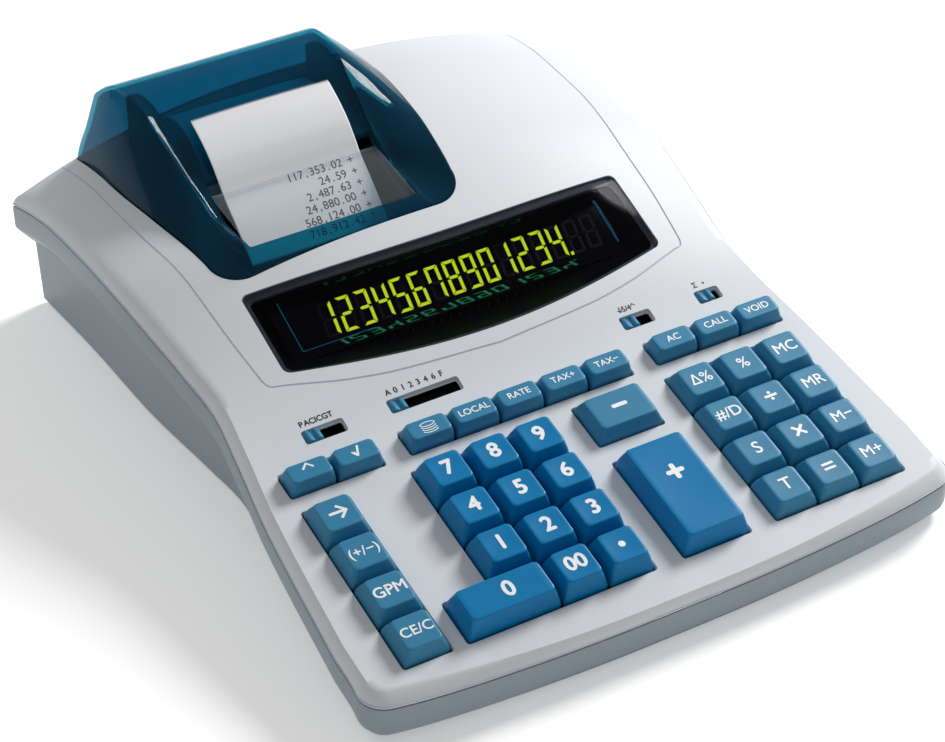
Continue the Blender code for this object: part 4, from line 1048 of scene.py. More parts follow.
@dataclass
class Keyboard:
    """Forty keys, their legends, the wells they stand in and the plate under them."""

    shape: CaseShape
    palette: Palette
    pitch: float = 0.0185
    gap: float = 0.0010
    height: float = 0.0054
    tall_extra: float = 0.0023
    skirt: float = 0.0025
    edge_round: float = 0.0008
    figure_column: float = -0.0312
    outer_column: float = 0.0926
    first_row: float = 0.0062
    small_row: float = 0.0833
    middle_key: float = -0.0084
    well_margin: float = 0.0007
    ink: float = 0.00007
    dish_tall: float = 0.00026
    dish_low: float = 0.00010
    keys: list[Key] = field(default_factory=list)

    def __post_init__(self) -> None:
        """Lays the keys out."""
        rows = [self.first_row + self.pitch * i for i in range(4)]
        columns = [self.figure_column + self.pitch * i for i in (-1, 0, 1)]
        self.rows = rows
        add = self.keys.append
        for row, digits in zip(rows[1:], ("123", "456", "789")):
            for across, digit in zip(columns, digits):
                add(Key(f"key_{digit}", across, row, Legend(digit, 0.0088, 0, 0.0002, 0.034), tall=True))
        wide = 2 * self.pitch - self.gap
        add(Key("key_0", columns[0] - self.pitch / 2, rows[0], Legend("0", 0.0088, 0.0015, 0.0002, 0.034), wide,
                tall=True))
        add(Key("key_00", columns[1], rows[0], Legend("00", 0.0082, 0, 0.0002, 0.034), tall=True))
        add(Key("key_point", columns[2], rows[0], Legend("•", 0.0105, 0, 0.0, 0.0), tall=True))
        add(Key("key_plus", 0.0217, 0.0207, Legend("+", 0.0135, 0, 0.0052, 0.03), 0.0268, 0.0468, tall=True))
        add(Key("key_minus", 0.0217, 0.0628, Legend("−", 0.0120, 0, 0.0, 0.03), 0.0268, 0.0190))
        left = (("clear", Legend("CE/C", 0.0056)), ("gpm", Legend("GPM", 0.0062, bold=0.02)),
                ("sign_change", Legend("(+/−)", 0.0056)), ("backspace", Legend("→", 0.0095, bold=0.02)))
        for (name, legend), row in zip(left, rows):
            add(Key(f"key_{name}", -self.outer_column, row, legend))
        block = ((("subtotal_t", "T"), ("equals", "="), ("memory_plus", "M+")),
                 (("subtotal_s", "S"), ("times", "×"), ("memory_minus", "M−")),
                 (("date", "#/D"), ("divide", "÷"), ("memory_recall", "MR")),
                 (("delta_percent", "Δ%"), ("percent", "%"), ("memory_clear", "MC")))
        for row, names in zip(rows, block):
            for i, (name, words) in enumerate(names):
                size = {"=": 0.0098, "×": 0.0115, "÷": 0.0105, "T": 0.0074, "S": 0.0074}.get(words, 0.0066)
                add(Key(f"key_{name}", self.outer_column - self.pitch * (2 - i), row, Legend(words, size)))
        small = {"depth": 0.0099, "taper": 0.0012}
        add(Key("key_paper_feed", -self.outer_column, self.small_row, Legend("↑", 0.0070, bold=0.02), **small))
        add(Key("key_root", -self.outer_column + self.pitch, self.small_row, Legend("√", 0.0062, bold=0.02),
                **small))
        middle = (("coins", ""), ("local", "LOCAL"), ("rate", "RATE"), ("tax_plus", "TAX+"), ("tax_minus", "TAX−"))
        for i, (name, words) in enumerate(middle):
            add(Key(f"key_{name}", self.middle_key + self.pitch * (i - 2), self.small_row,
                    Legend(words, 0.0039), **small))
        for i, (name, words) in enumerate((("all_clear", "AC"), ("call", "CALL"), ("void", "VOID"))):
            add(Key(f"key_{name}", self.outer_column - self.pitch * (2 - i) + 0.0019, self.small_row,
                    Legend(words, 0.0042), **small))

    def top_level(self, key: Key, x: float, y: float) -> float:
        """Height of a key's dished top face over the deck at a place from its middle.

        Args:
            key: The key.
            x: Distance across from the key's middle.
            y: Distance back from the key's middle.

        Returns:
            The height.
        """
        height = self.height + (self.tall_extra if key.tall else 0.0)
        half = (key.width / 2 - key.taper, key.depth / 2 - key.taper)
        rise_x, rise_y = (1 - min(1.0, abs(v) / h) ** 2 for v, h in zip((x, y), half))
        return height - (self.dish_tall if key.tall else self.dish_low) * rise_x * rise_y

    @staticmethod
    def rounded(half_x: float, half_y: float, corner: float, z: float) -> list[Vector]:
        """A ring of points round a rectangle with rounded corners.

        Args:
            half_x: Half its width.
            half_y: Half its depth.
            corner: Radius of its corners.
            z: Height of the ring.

        Returns:
            The points, anticlockwise from above.
        """
        points = []
        for quarter, (sx, sy) in enumerate(((1, 1), (-1, 1), (-1, -1), (1, -1))):
            for i in range(7):
                turn = math.pi / 2 * (quarter + i / 6)
                points.append(Vector((sx * (half_x - corner) + corner * math.cos(turn),
                                      sy * (half_y - corner) + corner * math.sin(turn), z)))
            following = ((-1, 1), (-1, -1), (1, -1), (1, 1))[quarter]
            end = points[-1]
            turn = math.pi / 2 * (quarter + 1)
            start = Vector((following[0] * (half_x - corner) + corner * math.cos(turn),
                            following[1] * (half_y - corner) + corner * math.sin(turn), z))
            points += [end.lerp(start, i / 6) for i in range(1, 6)]
        return points

    def cap(self, key: Key) -> Piece:
        """One key's body, closed, with rounded edges and a dished top."""
        height = self.height + (self.tall_extra if key.tall else 0.0)
        half_x, half_y, soft = key.width / 2, key.depth / 2, self.edge_round
        rings = [self.rounded(half_x - 0.0006, half_y - 0.0006, 0.0008, -self.skirt),
                 self.rounded(half_x, half_y, 0.0010, -self.skirt + 0.0005),
                 self.rounded(half_x, half_y, 0.0011, 0.0)]
        climb = height - soft
        for i in range(1, 5):
            share = i / 4
            bulge = 0.00018 * math.sin(math.pi * share)
            inset = (key.taper - 0.5 * soft) * share - bulge
            rings.append(self.rounded(half_x - inset, half_y - inset, 0.0011 + 0.0007 * share, climb * share))
        for turn in (22, 45, 68):
            angle = math.radians(turn)
            inset = key.taper - 0.5 * soft + 0.5 * soft * (1 - math.cos(angle)) * 1.2
            rings.append(self.rounded(half_x - inset, half_y - inset, 0.0018,
                                      climb + soft * 0.96 * math.sin(angle)))
        top_x, top_y = half_x - key.taper - 0.12 * soft, half_y - key.taper - 0.12 * soft
        count = 8
        for i in range(count):
            share = 1 - (i + 0.1) / count
            ring = self.rounded(top_x * share, top_y * share, 0.0018 * share, 0.0)
            rings.append([Vector((p.x, p.y, self.top_level(key, p.x, p.y))) for p in ring])
        bm = bmesh.new()
        placed = [[self.shape.deck(key.across + p.x, key.back + p.y, p.z) for p in ring] for ring in rings]
        Maker.plug(bm, placed)
        finish = "figure_key_plastic" if key.tall else "function_key_plastic"
        return Maker.build(key.name + "_cap", bm, self.palette[finish], smooth=50)

    def lettering(self, key: Key) -> Piece | None:
        """The legend on one key's top face, following its dish."""
        legend = key.legend
        if key.name == "key_coins":
            meshes = [self.coin_stack()]
        elif legend.words:
            meshes = [Maker.text(legend.words, legend.size, legend.bold)]
        else:
            return None

        def place(p: Vector) -> Vector:
            """Lays a flat point on the key's top."""
            x, y = p.x + legend.across, p.y + legend.back
            return self.shape.deck(key.across + x, key.back + y, self.top_level(key, x, y) + p.z + 0.00003)
        return Maker.lay(key.name + "_legend", meshes, place, self.ink, self.palette["legend_white"])

    @staticmethod
    def coin_stack() -> Mesh:
        """A small sign of stacked coins: one flat ring over three crescents."""
        bm = bmesh.new()
        wide, flat, stroke = 0.0030, 0.0011, 0.00042

        def band(centre: float, begin: float, end: float) -> None:
            """Adds part of an elliptical ring."""
            steps = 28
            inner, outer = [], []
            for i in range(steps + 1):
                turn = begin + (end - begin) * i / steps
                cos, sin = math.cos(turn), math.sin(turn)
                inner.append(bm.verts.new(((wide - stroke) * cos, centre + (flat - stroke * 0.8) * sin, 0.0)))
                outer.append(bm.verts.new((wide * cos, centre + flat * sin, 0.0)))
            for i in range(steps):
                bm.faces.new((inner[i], outer[i], outer[i + 1], inner[i + 1]))
        band(0.0011, 0.0, 2 * math.pi)
        for centre in (0.0001, -0.0009, -0.0019):
            band(centre, math.pi, 2 * math.pi)
        mesh = bpy.data.meshes.new("coin_stack")
        bm.to_mesh(mesh)
        bm.free()
        return mesh

    def well_cutter(self) -> list[Piece]:
        """Cutters for the wells, with rounded corners: one for all blocks and one for the front row."""
        def around(members: list[Key]) -> tuple[float, float, float, float]:
            """Middle and size of the opening round a block of keys."""
            m = self.well_margin
            left = min(k.across - k.width / 2 for k in members) - m
            right = max(k.across + k.width / 2 for k in members) + m
            low = min(k.back - k.depth / 2 for k in members) - m
            high = max(k.back + k.depth / 2 for k in members) + m
            return (left + right) / 2, (low + high) / 2, (right - left) / 2, (high - low) / 2
        by_name = {k.name: k for k in self.keys}
        blocks = [[by_name[f"key_{d}"] for d in range(1, 10)], [by_name["key_plus"]], [by_name["key_minus"]],
                  [k for k in self.keys if k.across == -self.outer_column and k.back in self.rows],
                  [k for k in self.keys
                   if k.across > self.outer_column - 2.5 * self.pitch and k.back in self.rows],
                  [by_name["key_paper_feed"], by_name["key_root"]],
                  [by_name[n] for n in ("key_all_clear", "key_call", "key_void")],
                  [by_name[f"key_{n}"] for n in ("coins", "local", "rate", "tax_plus", "tax_minus")]]
        front = [by_name[n] for n in ("key_0", "key_00", "key_point")]
        made = []
        for name, groups in (("wells", blocks), ("front_well", [front])):
            bm = bmesh.new()
            for group in groups:
                across, back, half_x, half_y = around(group)
                rings = []
                for flare, z in ((0.0, -0.012), (0.0, -0.0007), (0.00012, -0.0003), (0.00045, 0.0),
                                 (0.00045, 0.006)):
                    ring = self.rounded(half_x + flare, half_y + flare, 0.0010 + flare, z)
                    rings.append([self.shape.deck(across + p.x, back + p.y, p.z) for p in ring])
                Maker.plug(bm, rings)
            made.append(Maker.build(name, bm, None, smooth=0))
        return made

    def build(self) -> None:
        """Builds and places every key and its legend."""
        for key in self.keys:
            body = key.name + "_body"
            cap = self.cap(key)
            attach(cap, body)
            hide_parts(key.name)
            mark = self.lettering(key)
            if mark is not None:
                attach(mark, body)
        LOG.info("keyboard: %d keys with their legends", len(self.keys))


# ---- slide switches
@dataclass
class Switch:
    """A slide switch: its node, the left end and length of its slot, and the scale printed behind it."""

    node: str
    left: float
    length: float
    marks: tuple[tuple[str, float], ...]


@dataclass
class Switches:
    """Four slide switches in slots, with the scales printed behind them."""

    shape: CaseShape
    palette: Palette
    frame: dict
    row: float = 0.1000
    slot_depth: float = 0.0053
    scale_row: float = 0.1052
    mark_size: float = 0.0031
    switches: tuple[Switch, ...] = (
        Switch("slider_print", -0.0856, 0.0160, (("P", 0.0014), ("AC", 0.0047), ("IC", 0.0083), ("GT", 0.0118))),
        Switch("slider_decimal", -0.0516, 0.0288,
               tuple((c, 0.0022 + 0.0031 * i) for i, c in enumerate("A012346F"))),
        Switch("slider_rounding", 0.0463, 0.0129, (("↓", 0.0022), ("5/4", 0.0050), ("↑", 0.0080))),
        Switch("slider_total", 0.0795, 0.0099, (("Σ", 0.0022), ("•", 0.0060))))

    def on_top(self, p: Vector) -> Vector:
        """Lays a flat point of the keyboard's plane on the case's surface."""
        spot = self.shape.deck(p.x, p.y)
        return self.shape.over(spot.x, spot.y, p.z + 0.00003)

    def slot_cutter(self) -> Piece:
        """A cutter for the four slots."""
        bm = bmesh.new()
        for switch in self.switches:
            rings = []
            for flare, z in ((0.0, -0.008), (0.0, -0.0004), (0.0003, 0.0), (0.0003, 0.005)):
                ring = Keyboard.rounded(switch.length / 2 + flare, self.slot_depth / 2 + flare,
                                        0.0008 + flare, z)
                rings.append([self.shape.deck(switch.left + switch.length / 2 + p.x, self.row + p.y, p.z)
                              for p in ring])
            Maker.plug(bm, rings)
        return Maker.build("slots", bm, None, smooth=0)

    def build(self) -> None:
        """Builds the knobs, the dark troughs behind the slots and the printed scales."""
        for switch in self.switches:
            knob = Maker.copy_node(switch.node, self.frame, switch.node + "_knob",
                                   self.palette["function_key_plastic"])
            Maker.soften(knob, 0.00025, 2)
            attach(knob, switch.node.replace("slider_", "switch_"))
            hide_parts(switch.node)
            meshes = []
            for words, across in switch.marks:
                mesh = Maker.text(words, self.mark_size, 0.034)
                mesh.transform(Matrix.Translation((switch.left + across, self.scale_row, 0.0)))
                meshes.append(mesh)
            scale = Maker.lay(switch.node + "_scale", meshes, self.on_top, 0.00002, self.palette["scale_ink"])
            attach(scale, Body.CASE.value)
        bm = bmesh.new()
        for switch in self.switches:
            middle = self.shape.deck(switch.left + switch.length / 2, self.row, -0.0062)
            Maker.block(bm, (switch.length + 0.004, self.slot_depth + 0.004, 0.0012), middle,
                        Matrix.Rotation(self.shape.slope, 4, "X"))
        trough = Maker.build("slot_troughs", bm, self.palette["inside_black"])
        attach(trough, Body.CASE.value)
        LOG.info("switches: %d knobs with their scales", len(self.switches))


# ---- display
@dataclass
class Display:
    """The smoked window, the dark chamber under it, and the tube with its lit digits."""

    shape: CaseShape
    palette: Palette
    half: float = 0.0795
    front: float = 0.1309
    front_bow: float = 0.0110
    back: float = 0.1713
    back_bow: float = 0.0056
    corner: float = 0.0026
    ledge: float = 0.0020
    lens: float = 0.0014
    tube_middle: float = 0.0145
    tube_width: float = 0.142
    tube_height: float = 0.030
    tube_thickness: float = 0.0065
    tube_depth: float = 0.0070
    digit_height: float = 0.0148
    digit_width: float = 0.0055
    pitch: float = 0.00749
    first: float = -0.0548
    baseline: float = -0.0092
    slant: float = 0.13
    stroke: float = 0.00125
    shown: str = "12345678901234."

    SEGMENTS = {"0": "abcdef", "1": "bc", "2": "abged", "3": "abgcd", "4": "fgbc", "5": "afgcd", "6": "afgedc",
                "7": "fabc", "8": "abcdefg", "9": "abfgcd", " ": "", ".": "."}

    def limits(self, x: float, grow: float = 0.0) -> tuple[float, float]:
        """Front and rear edge of the window at x, with its rounded corners.

        Args:
            x: Distance from the middle.
            grow: How far the outline is grown.

        Returns:
            The two y values.
        """
        share = (x / self.half) ** 2
        start = self.shape.front
        low = start + self.front + self.front_bow * share - grow
        high = start + self.back + self.back_bow * share + grow
        past = abs(x) - (self.half + grow - self.corner)
        if past > 0:
            cut = self.corner - math.sqrt(max(0.0, self.corner ** 2 - past ** 2))
            low, high = low + cut, high - cut
        return low, high

    def columns(self, grow: float) -> list[float]:
        """Places across the window at which its outline is taken, close together at the corners."""
        reach, corner = self.half + grow, self.corner
        ends = [reach - corner + corner * math.sin(math.radians(a)) for a in (0, 18, 36, 52, 66, 78, 86)]
        inner = np.linspace(-(reach - corner), reach - corner, 61)[1:-1]
        return [-e for e in reversed(ends)] + [float(v) for v in inner] + ends

    def plate(self, name: str, grow: float, top: float, bottom: float, finish: Material | None,
              edge: float = 0.0) -> Piece:
        """The window's outline between two heights over the case's surface.

        Args:
            name: The piece's name.
            grow: How far its outline is grown.
            top: Upper height over the surface.
            bottom: Lower height over the surface.
            finish: Its material.
            edge: How much the upper edge is rounded.

        Returns:
            The plate.
        """
        bm = bmesh.new()
        layers = []
        rises = [(top, edge), (top - 0.3 * edge, 0.3 * edge), (top - edge, 0.0), (bottom, 0.0)] if edge else [
            (top, 0.0), (bottom, 0.0)]
        steps = 12
        for rise, inset in rises:
            layer = []
            for x in self.columns(grow):
                low, high = self.limits(x, grow)
                inner = x * (1 - inset / self.half)
                layer.append([self.shape.over(inner, low + inset + (high - low - 2 * inset) * j / steps, rise)
                              for j in range(steps + 1)])
            layers.append(layer)
        count = len(layers[0])
        border = [(i, 0) for i in range(count - 1)] + [(count - 1, j) for j in range(steps)]
        border += [(i, steps) for i in range(count - 1, 0, -1)] + [(0, j) for j in range(steps, 0, -1)]
        rows = [[layer[i][j] for i, j in border] for layer in layers]
        loops = Maker.skin(bm, rows)
        for layer, loop in ((layers[0], loops[0]), (layers[-1], loops[-1])):
            grid = {place: vert for place, vert in zip(border, loop)}
            for i in range(count):
                for j in range(steps + 1):
                    if (i, j) not in grid:
                        grid[i, j] = bm.verts.new(layer[i][j])
            for i in range(count - 1):
                for j in range(steps):
                    bm.faces.new((grid[i, j], grid[i + 1, j], grid[i + 1, j + 1], grid[i, j + 1]))
        return Maker.build(name, bm, finish)

    def cutters(self) -> list[Piece]:
        """Cutters for the window's opening and for the recess the lens lies in."""
        return [self.plate("window_opening", -self.ledge, 0.01, -0.01, None),
                self.plate("window_recess", 0.00015, 0.01, -self.lens - 0.0003, None)]

    def tube_frame(self) -> tuple[Vector, Matrix]:
        """Middle of the tube's face and the turn that lays a flat piece on it."""
        shape, start = self.shape, self.shape.front
        front, rear = start + self.front, start + self.back
        rise = shape.top(self.half / 2, rear) - shape.top(self.half / 2, front)
        slope = math.atan(rise / (rear - front))
        y = (front + rear) / 2 + self.tube_middle
        z = shape.top(self.half, y) - self.tube_depth - self.tube_thickness / 2
        turn = Matrix.Rotation(slope, 4, "X")
        face = Vector((0.0, y, z)) + turn.to_3x3() @ Vector((0.0, 0.0, self.tube_thickness / 2))
        return face, turn

    def on_tube(self, x: float, y: float, up: float = 0.0) -> Vector:
        """A place on the tube's face, from its middle."""
        face, turn = self.tube_frame()
        return face + turn.to_3x3() @ Vector((x, y, up))

    def segments(self, figure: str, scale: float = 1.0) -> list[list[tuple[float, float]]]:
        """Outlines of the lit bars of one figure, before they are slanted.

        Args:
            figure: The character.
            scale: Stroke width as a share of the usual.

        Returns:
            One closed outline for each bar.
        """
        w, h, s = self.digit_width, self.digit_height, self.stroke * scale
        gap, half = 0.00016, h / 2
        level = {"a": h, "g": half, "d": 0.0}
        bars = []
        for name in self.SEGMENTS[figure]:
            if name in "agd":
                y = level[name]
                inward = -1 if name == "a" else 1
                if name == "g":
                    bars.append([(gap + s * 0.5, y), (gap + s, y + s / 2), (w - gap - s, y + s / 2),
                                 (w - gap - s * 0.5, y), (w - gap - s, y - s / 2), (gap + s, y - s / 2)])
                else:
                    bars.append([(gap * 1.5, y), (w - gap * 1.5, y), (w - gap - s, y + inward * s),
                                 (gap + s, y + inward * s)])
            elif name == ".":
                bars.append([(w + 0.0009, 0.0), (w + 0.0021, 0.0), (w + 0.0021, s * 1.2), (w + 0.0009, s * 1.2)])
            else:
                x, inward = (w, -1) if name in "bc" else (0.0, 1)
                low, high = (half, h) if name in "bf" else (0.0, half)
                top_in = s if high == h else s / 2
                low_in = s if low == 0.0 else s / 2
                bars.append([(x, low + gap * (1.5 if low == 0.0 else 3)),
                             (x, high - gap * (1.5 if high == h else 3)),
                             (x + inward * s, high - top_in - gap), (x + inward * s, low + low_in + gap)])
        return bars

    def figures(self, name: str, finish: str, words: str, lift: float, place: Callable[[float, float], tuple],
                scale: float = 1.0) -> Piece:
        """Lit or dark figures as one piece of thin bars.

        Args:
            name: The piece's name.
            finish: Name of its finish.
            words: The figures, one for each place.
            lift: Height over the tube's face.
            place: Turns a slanted flat point into one on the tube's face.
            scale: Stroke width as a share of the usual.

        Returns:
            The piece.
        """
        bm = bmesh.new()
        index = -1
        for figure in words:
            if figure != ".":
                index += 1
            for bar in self.segments(figure, scale):
                points = [place(self.first + self.pitch * index + x + self.slant * y, self.baseline + y)
                          for x, y in bar]
                low = [bm.verts.new(self.on_tube(x, y, lift)) for x, y in points]
                high = [bm.verts.new(self.on_tube(x, y, lift + 0.00005)) for x, y in points]
                count = len(points)
                bm.faces.new(high)
                bm.faces.new(list(reversed(low)))
                for i in range(count):
                    bm.faces.new((low[i], low[(i + 1) % count], high[(i + 1) % count], high[i]))
        return Maker.build(name, bm, self.palette[finish], smooth=0)

    def chamber(self) -> Piece:
        """Dark walls from the window's ledge down to a floor behind the tube."""
        rows = []
        across = self.columns(-self.ledge)
        places = [(x, 0) for x in across] + [(x, 1) for x in reversed(across)]
        for share, drop in ((0.0, 0.0), (0.06, 0.0), (1.0, 1.0)):
            row = []
            for x, end in places:
                y = self.limits(x, -self.ledge)[end]
                upper = self.shape.over(x, y, -self.shape.wall - 0.0002)
                inner = x * (1 - 0.08 * share)
                centre = (self.limits(0.0)[0] + self.limits(0.0)[1]) / 2
                deep = self.on_tube(inner, (y - centre) * 0.80 + 0.0005, -0.0068)
                row.append(upper.lerp(deep, drop) if drop else upper)
            rows.append(row)
        bm = bmesh.new()
        loops = Maker.skin(bm, rows)
        bm.faces.new(loops[-1])
        made = Maker.build("display_chamber", bm, self.palette["inside_black"], turn_out=False)
        Maker.thicken(made, 0.0008, 0.0)
        return made

    def build(self) -> None:
        """Builds the lens, chamber, tube and figures, with painted reflections of the figures and painted glints
        on the tube.
        """
        palette = self.palette
        lens = self.plate("display_window", -0.00015, 0.0, -self.lens, palette["window_smoke"], edge=0.0003)
        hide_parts("display_lens")
        _, turn = self.tube_frame()
        bm = bmesh.new()
        Maker.block(bm, (self.tube_width, self.tube_height, self.tube_thickness),
                    self.on_tube(0, 0, -self.tube_thickness / 2), turn)
        tube = Maker.build("display_glass", bm, palette["tube_glass"])
        Maker.soften(tube, 0.0008, 3)
        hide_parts("display_tube")
        straight = self.figures("lit_figures", "lit_segment", self.shown, 0.00010, lambda x, y: (x, y))
        # The dark segments carry a faint painted glow.
        dark = self.figures("unlit_figures", "unlit_segment", "8" * 16, 0.00003, lambda x, y: (x, y), 0.9)
        # Painted reflections: squashed emissive copies of the figures, set below and above the lit ones.
        top = self.baseline + self.digit_height + 0.0060
        low = self.baseline - 0.0024
        back = self.figures("mirrored_figures_back", "faint_segment", self.shown[:12], 0.0005,
                            lambda x, y: (x + 0.003, top + (self.baseline + self.digit_height - y) * 0.26))
        fore = self.figures("mirrored_figures_front", "mirrored_segment", self.shown, 0.0005,
                            lambda x, y: (x - 0.001, low - (y - self.baseline) * 0.17))
        # Painted glints: thin emissive strips along the tube's left, front and right edges.
        bm = bmesh.new()
        edge_x = -0.0662
        for size, at in (((0.00035, 0.0220, 0.0001), (edge_x, 0.0, 0.0003)),
                         ((0.0300, 0.00025, 0.0001), (edge_x + 0.015, -0.0112, 0.0003)),
                         ((0.0007, 0.0200, 0.0001), (-edge_x + 0.0030, 0.0, 0.0003))):
            Maker.block(bm, size, self.on_tube(*at), turn)
        glint = Maker.build("tube_edge_light", bm, palette["edge_light"], smooth=0)
        pins = self.pins()
        for piece, slot in ((lens, Slot.LENS), (tube, Slot.TUBE), (straight, Slot.TUBE), (dark, Slot.TUBE),
                            (back, Slot.TUBE), (fore, Slot.TUBE), (glint, Slot.TUBE), (self.chamber(), Slot.BLACK),
                            (pins, Slot.STEEL)):
            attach(piece, Body.CASE.value)
        LOG.info("display: window, tube and %d figures", len(self.shown))

    def pins(self) -> Piece:
        """The row of fine leads along the tube's front edge."""
        bm = bmesh.new()
        bmesh.ops.create_cone(bm, cap_ends=True, segments=8, radius1=0.0003, radius2=0.0003, depth=0.005)
        shape = Maker.build("lead", bm, self.palette["sheet_steel"])
        points = [self.on_tube(-0.062 + 0.004 * i, -self.tube_height / 2 - 0.0006, -0.0045) for i in range(32)]
        return Repeat.along("tube_leads", points, shape, self.palette["sheet_steel"])


# ---- printer
@dataclass
class Printer:
    """The smoked cover with its dome, the clear tear bar, the printed strip, the roll and the rollers."""

    shape: CaseShape
    palette: Palette
    frame: dict
    centre: float = -0.0340
    from_rear: float = 0.1120
    half_front: float = 0.0490
    half_rear: float = 0.0588
    shift_front: float = 0.0018
    shift_rear: float = -0.0005
    corner: float = 0.0125
    arch_front: float = 0.0362
    arch_rear: float = 0.0452
    arch_shift_front: float = 0.0013
    arch_shift_rear: float = -0.0062
    scoop: float = 0.0025
    dome: float = 0.1018
    dome_from_rear: float = 0.0290
    mouth_from_rear: float = 0.1045
    mouth_length: float = 0.0375
    cover_wall: float = 0.0018
    paper: float = 0.0580
    letter: float = 0.0046
    letter_pitch: float = 0.00235
    line_pitch: float = 0.0047
    lines: tuple[str, ...] = (
        "117,353.02 +", "24.59 +", "2,487.63 +", "24,880.00 +", "568,124.00 +", "718,912.42 *")

    def __post_init__(self) -> None:
        """Works out the lines that the pieces share."""
        rear = self.shape.rear
        self.front_y = rear - self.from_rear
        self.rear_y = rear - self.shape.wall - 0.0006
        self.mouth_y = rear - self.mouth_from_rear
        self.mouth_rear = self.mouth_y + self.mouth_length
        self.dome_y = rear - self.dome_from_rear
        self.foot_z = self.shape.top(self.centre, self.mouth_y)
        self.spread = Curve((0.0, 0.0), (0.22, 0.38), (0.43, 0.72), (0.77, 1.0), (1.0, 1.0))
        foot, lip = self.foot_z, self.dome - self.foot_z
        profile = [
            (self.mouth_y - 0.0010, foot), (self.mouth_y + 0.0200, foot + 0.04 * lip),
            (self.mouth_rear - 0.0060, foot + 0.22 * lip), (self.dome_y - 0.0340, foot + 0.40 * lip),
            (self.dome_y - 0.0212, foot + 0.72 * lip), (self.dome_y - 0.0110, foot + 0.93 * lip),
            (self.dome_y, self.dome), (self.dome_y + 0.0085, self.dome - 0.0007),
            (self.dome_y + 0.0140, self.dome - 0.0028), (self.dome_y + 0.0190, self.dome - 0.0062),
            (self.dome_y + 0.0235, self.dome - 0.0110), (self.rear_y - 0.0012, self.dome - 0.0180)]
        self.knots = profile
        lengths = [0.0]
        for (y0, z0), (y1, z1) in zip(profile, profile[1:]):
            lengths.append(lengths[-1] + math.hypot(y1 - y0, z1 - z0))
        self.length = lengths[-1]
        self.profile_y = Curve(*zip(lengths, (p[0] for p in profile)))
        self.profile_z = Curve(*zip(lengths, (p[1] for p in profile)))

    def share(self, y: float) -> float:
        """How far y is from the cover's front to its rear, from 0 to 1."""
        return min(max((y - self.front_y) / (self.rear_y - self.front_y), 0.0), 1.0)

    def foot_half(self, y: float) -> float:
        """Half width of the cover's foot at y."""
        return self.half_front + (self.half_rear - self.half_front) * self.spread(self.share(y))

    def foot_middle(self, y: float) -> float:
        """Middle of the cover's foot at y."""
        return self.centre + self.shift_front + (self.shift_rear - self.shift_front) * self.share(y)

    def arch_x(self, share: float, y: float) -> float:
        """Place across the dome, share running from -1 at the left arch to 1 at the right."""
        t = self.share(y)
        middle = self.centre + self.arch_shift_front + (self.arch_shift_rear - self.arch_shift_front) * t
        return middle + share * (self.arch_front + (self.arch_rear - self.arch_front) * t)

    def outline(self, inset: float, rear: float) -> list[tuple[float, float]]:
        """The cover's foot in plan, from the rear right round the front to the rear left.

        Args:
            inset: How far inside the cover's own edge.
            rear: Where it ends at the rear.

        Returns:
            The points.
        """
        corner, start, steps = self.corner - inset, self.front_y + self.corner, 26
        right = [(self.foot_half(rear) - inset, rear)]
        for i in range(1, steps):
            y = rear + (start - rear) * i / (steps - 1)
            right.append((self.foot_half(y) - inset, y))
        reach = right[-1][0]
        for i in range(1, 13):
            turn = math.pi / 2 * i / 12
            right.append((reach - corner + corner * math.cos(turn), start - corner * math.sin(turn)))
        left = [(-x, y) for x, y in reversed(right)]
        return [(self.foot_middle(y) + x, y) for x, y in right + left]

    def opening_cutter(self) -> Piece:
        """A cutter for the opening that the cover closes."""
        bm = bmesh.new()
        end = self.shape.rear - self.shape.wall
        outline = self.outline(-0.0005, end)
        rows = [[self.shape.over(x, min(y, end), rise) for x, y in outline] for rise in (-0.02, -0.0006, 0.03)]
        Maker.plug(bm, rows)
        return Maker.build("printer_opening", bm, None, smooth=0)

    @staticmethod
    def resample(points: list[Vector], count: int) -> list[Vector]:
        """Points spaced evenly along a line of points.

        Args:
            points: The line.
            count: How many points are wanted.

        Returns:
            The new points, from the first to the last.
        """
        steps = [0.0]
        for a, b in zip(points, points[1:]):
            steps.append(steps[-1] + (b - a).length)
        wanted = np.linspace(0.0, steps[-1], count)
        parts = [np.interp(wanted, steps, [p[k] for p in points]) for k in range(3)]
        return [Vector(p) for p in zip(*parts)]

    def cover_rows(self) -> list[list[Vector]]:
        """The cover's outer skin as rows from its left foot over the dome to its right foot, front to rear."""
        count, across, side = 72, 44, 9
        feet = self.outline(0.0, self.rear_y)
        middle = len(feet) // 2
        lift = 0.0003
        right = [self.shape.over(x, y, lift) for x, y in reversed(feet[:middle])]
        left = [self.shape.over(x, y, lift) for x, y in feet[middle:]]
        right, left = self.resample(right, count), self.resample(left, count)
        rows = []
        for i in range(count):
            s = self.length * i / (count - 1)
            y, z = self.profile_y(s), self.profile_z(s)
            behind = min(1.0, max(0.0, (y - self.mouth_y) / 0.020))
            ahead = (self.dome_y - y) / (self.dome_y - self.mouth_rear - 0.012)
            dip = self.scoop * behind * min(1.0, max(0.0, ahead))
            top = []
            for j in range(across + 1):
                share = 2 * j / across - 1
                share = math.copysign(1 - (1 - abs(share)) ** 1.15, share) if share else 0.0
                fall = min(1.0, (1 - abs(share)) / 0.10)
                fall = fall * fall * (3 - 2 * fall)
                soften = 0.0007 * max(0.0, 1 - (1 - abs(share)) / 0.022) ** 2
                top.append(Vector((self.arch_x(share, y), y, z - dip * fall - soften)))

            def flank(foot: Vector, edge: Vector) -> list[Vector]:
                """Points between a foot and the dome's edge, a little bellied."""
                points = []
                for k in range(side):
                    t = k / side
                    point = foot.lerp(edge, t)
                    bulge = 0.0012 * math.sin(math.pi * t) * min(1.0, max(0.0, edge.z - foot.z) / 0.02)
                    point.x += math.copysign(bulge, foot.x - self.centre)
                    points.append(point)
                return points
            rows.append(flank(left[i], top[0]) + top + list(reversed(flank(right[i], top[-1]))))
        return rows

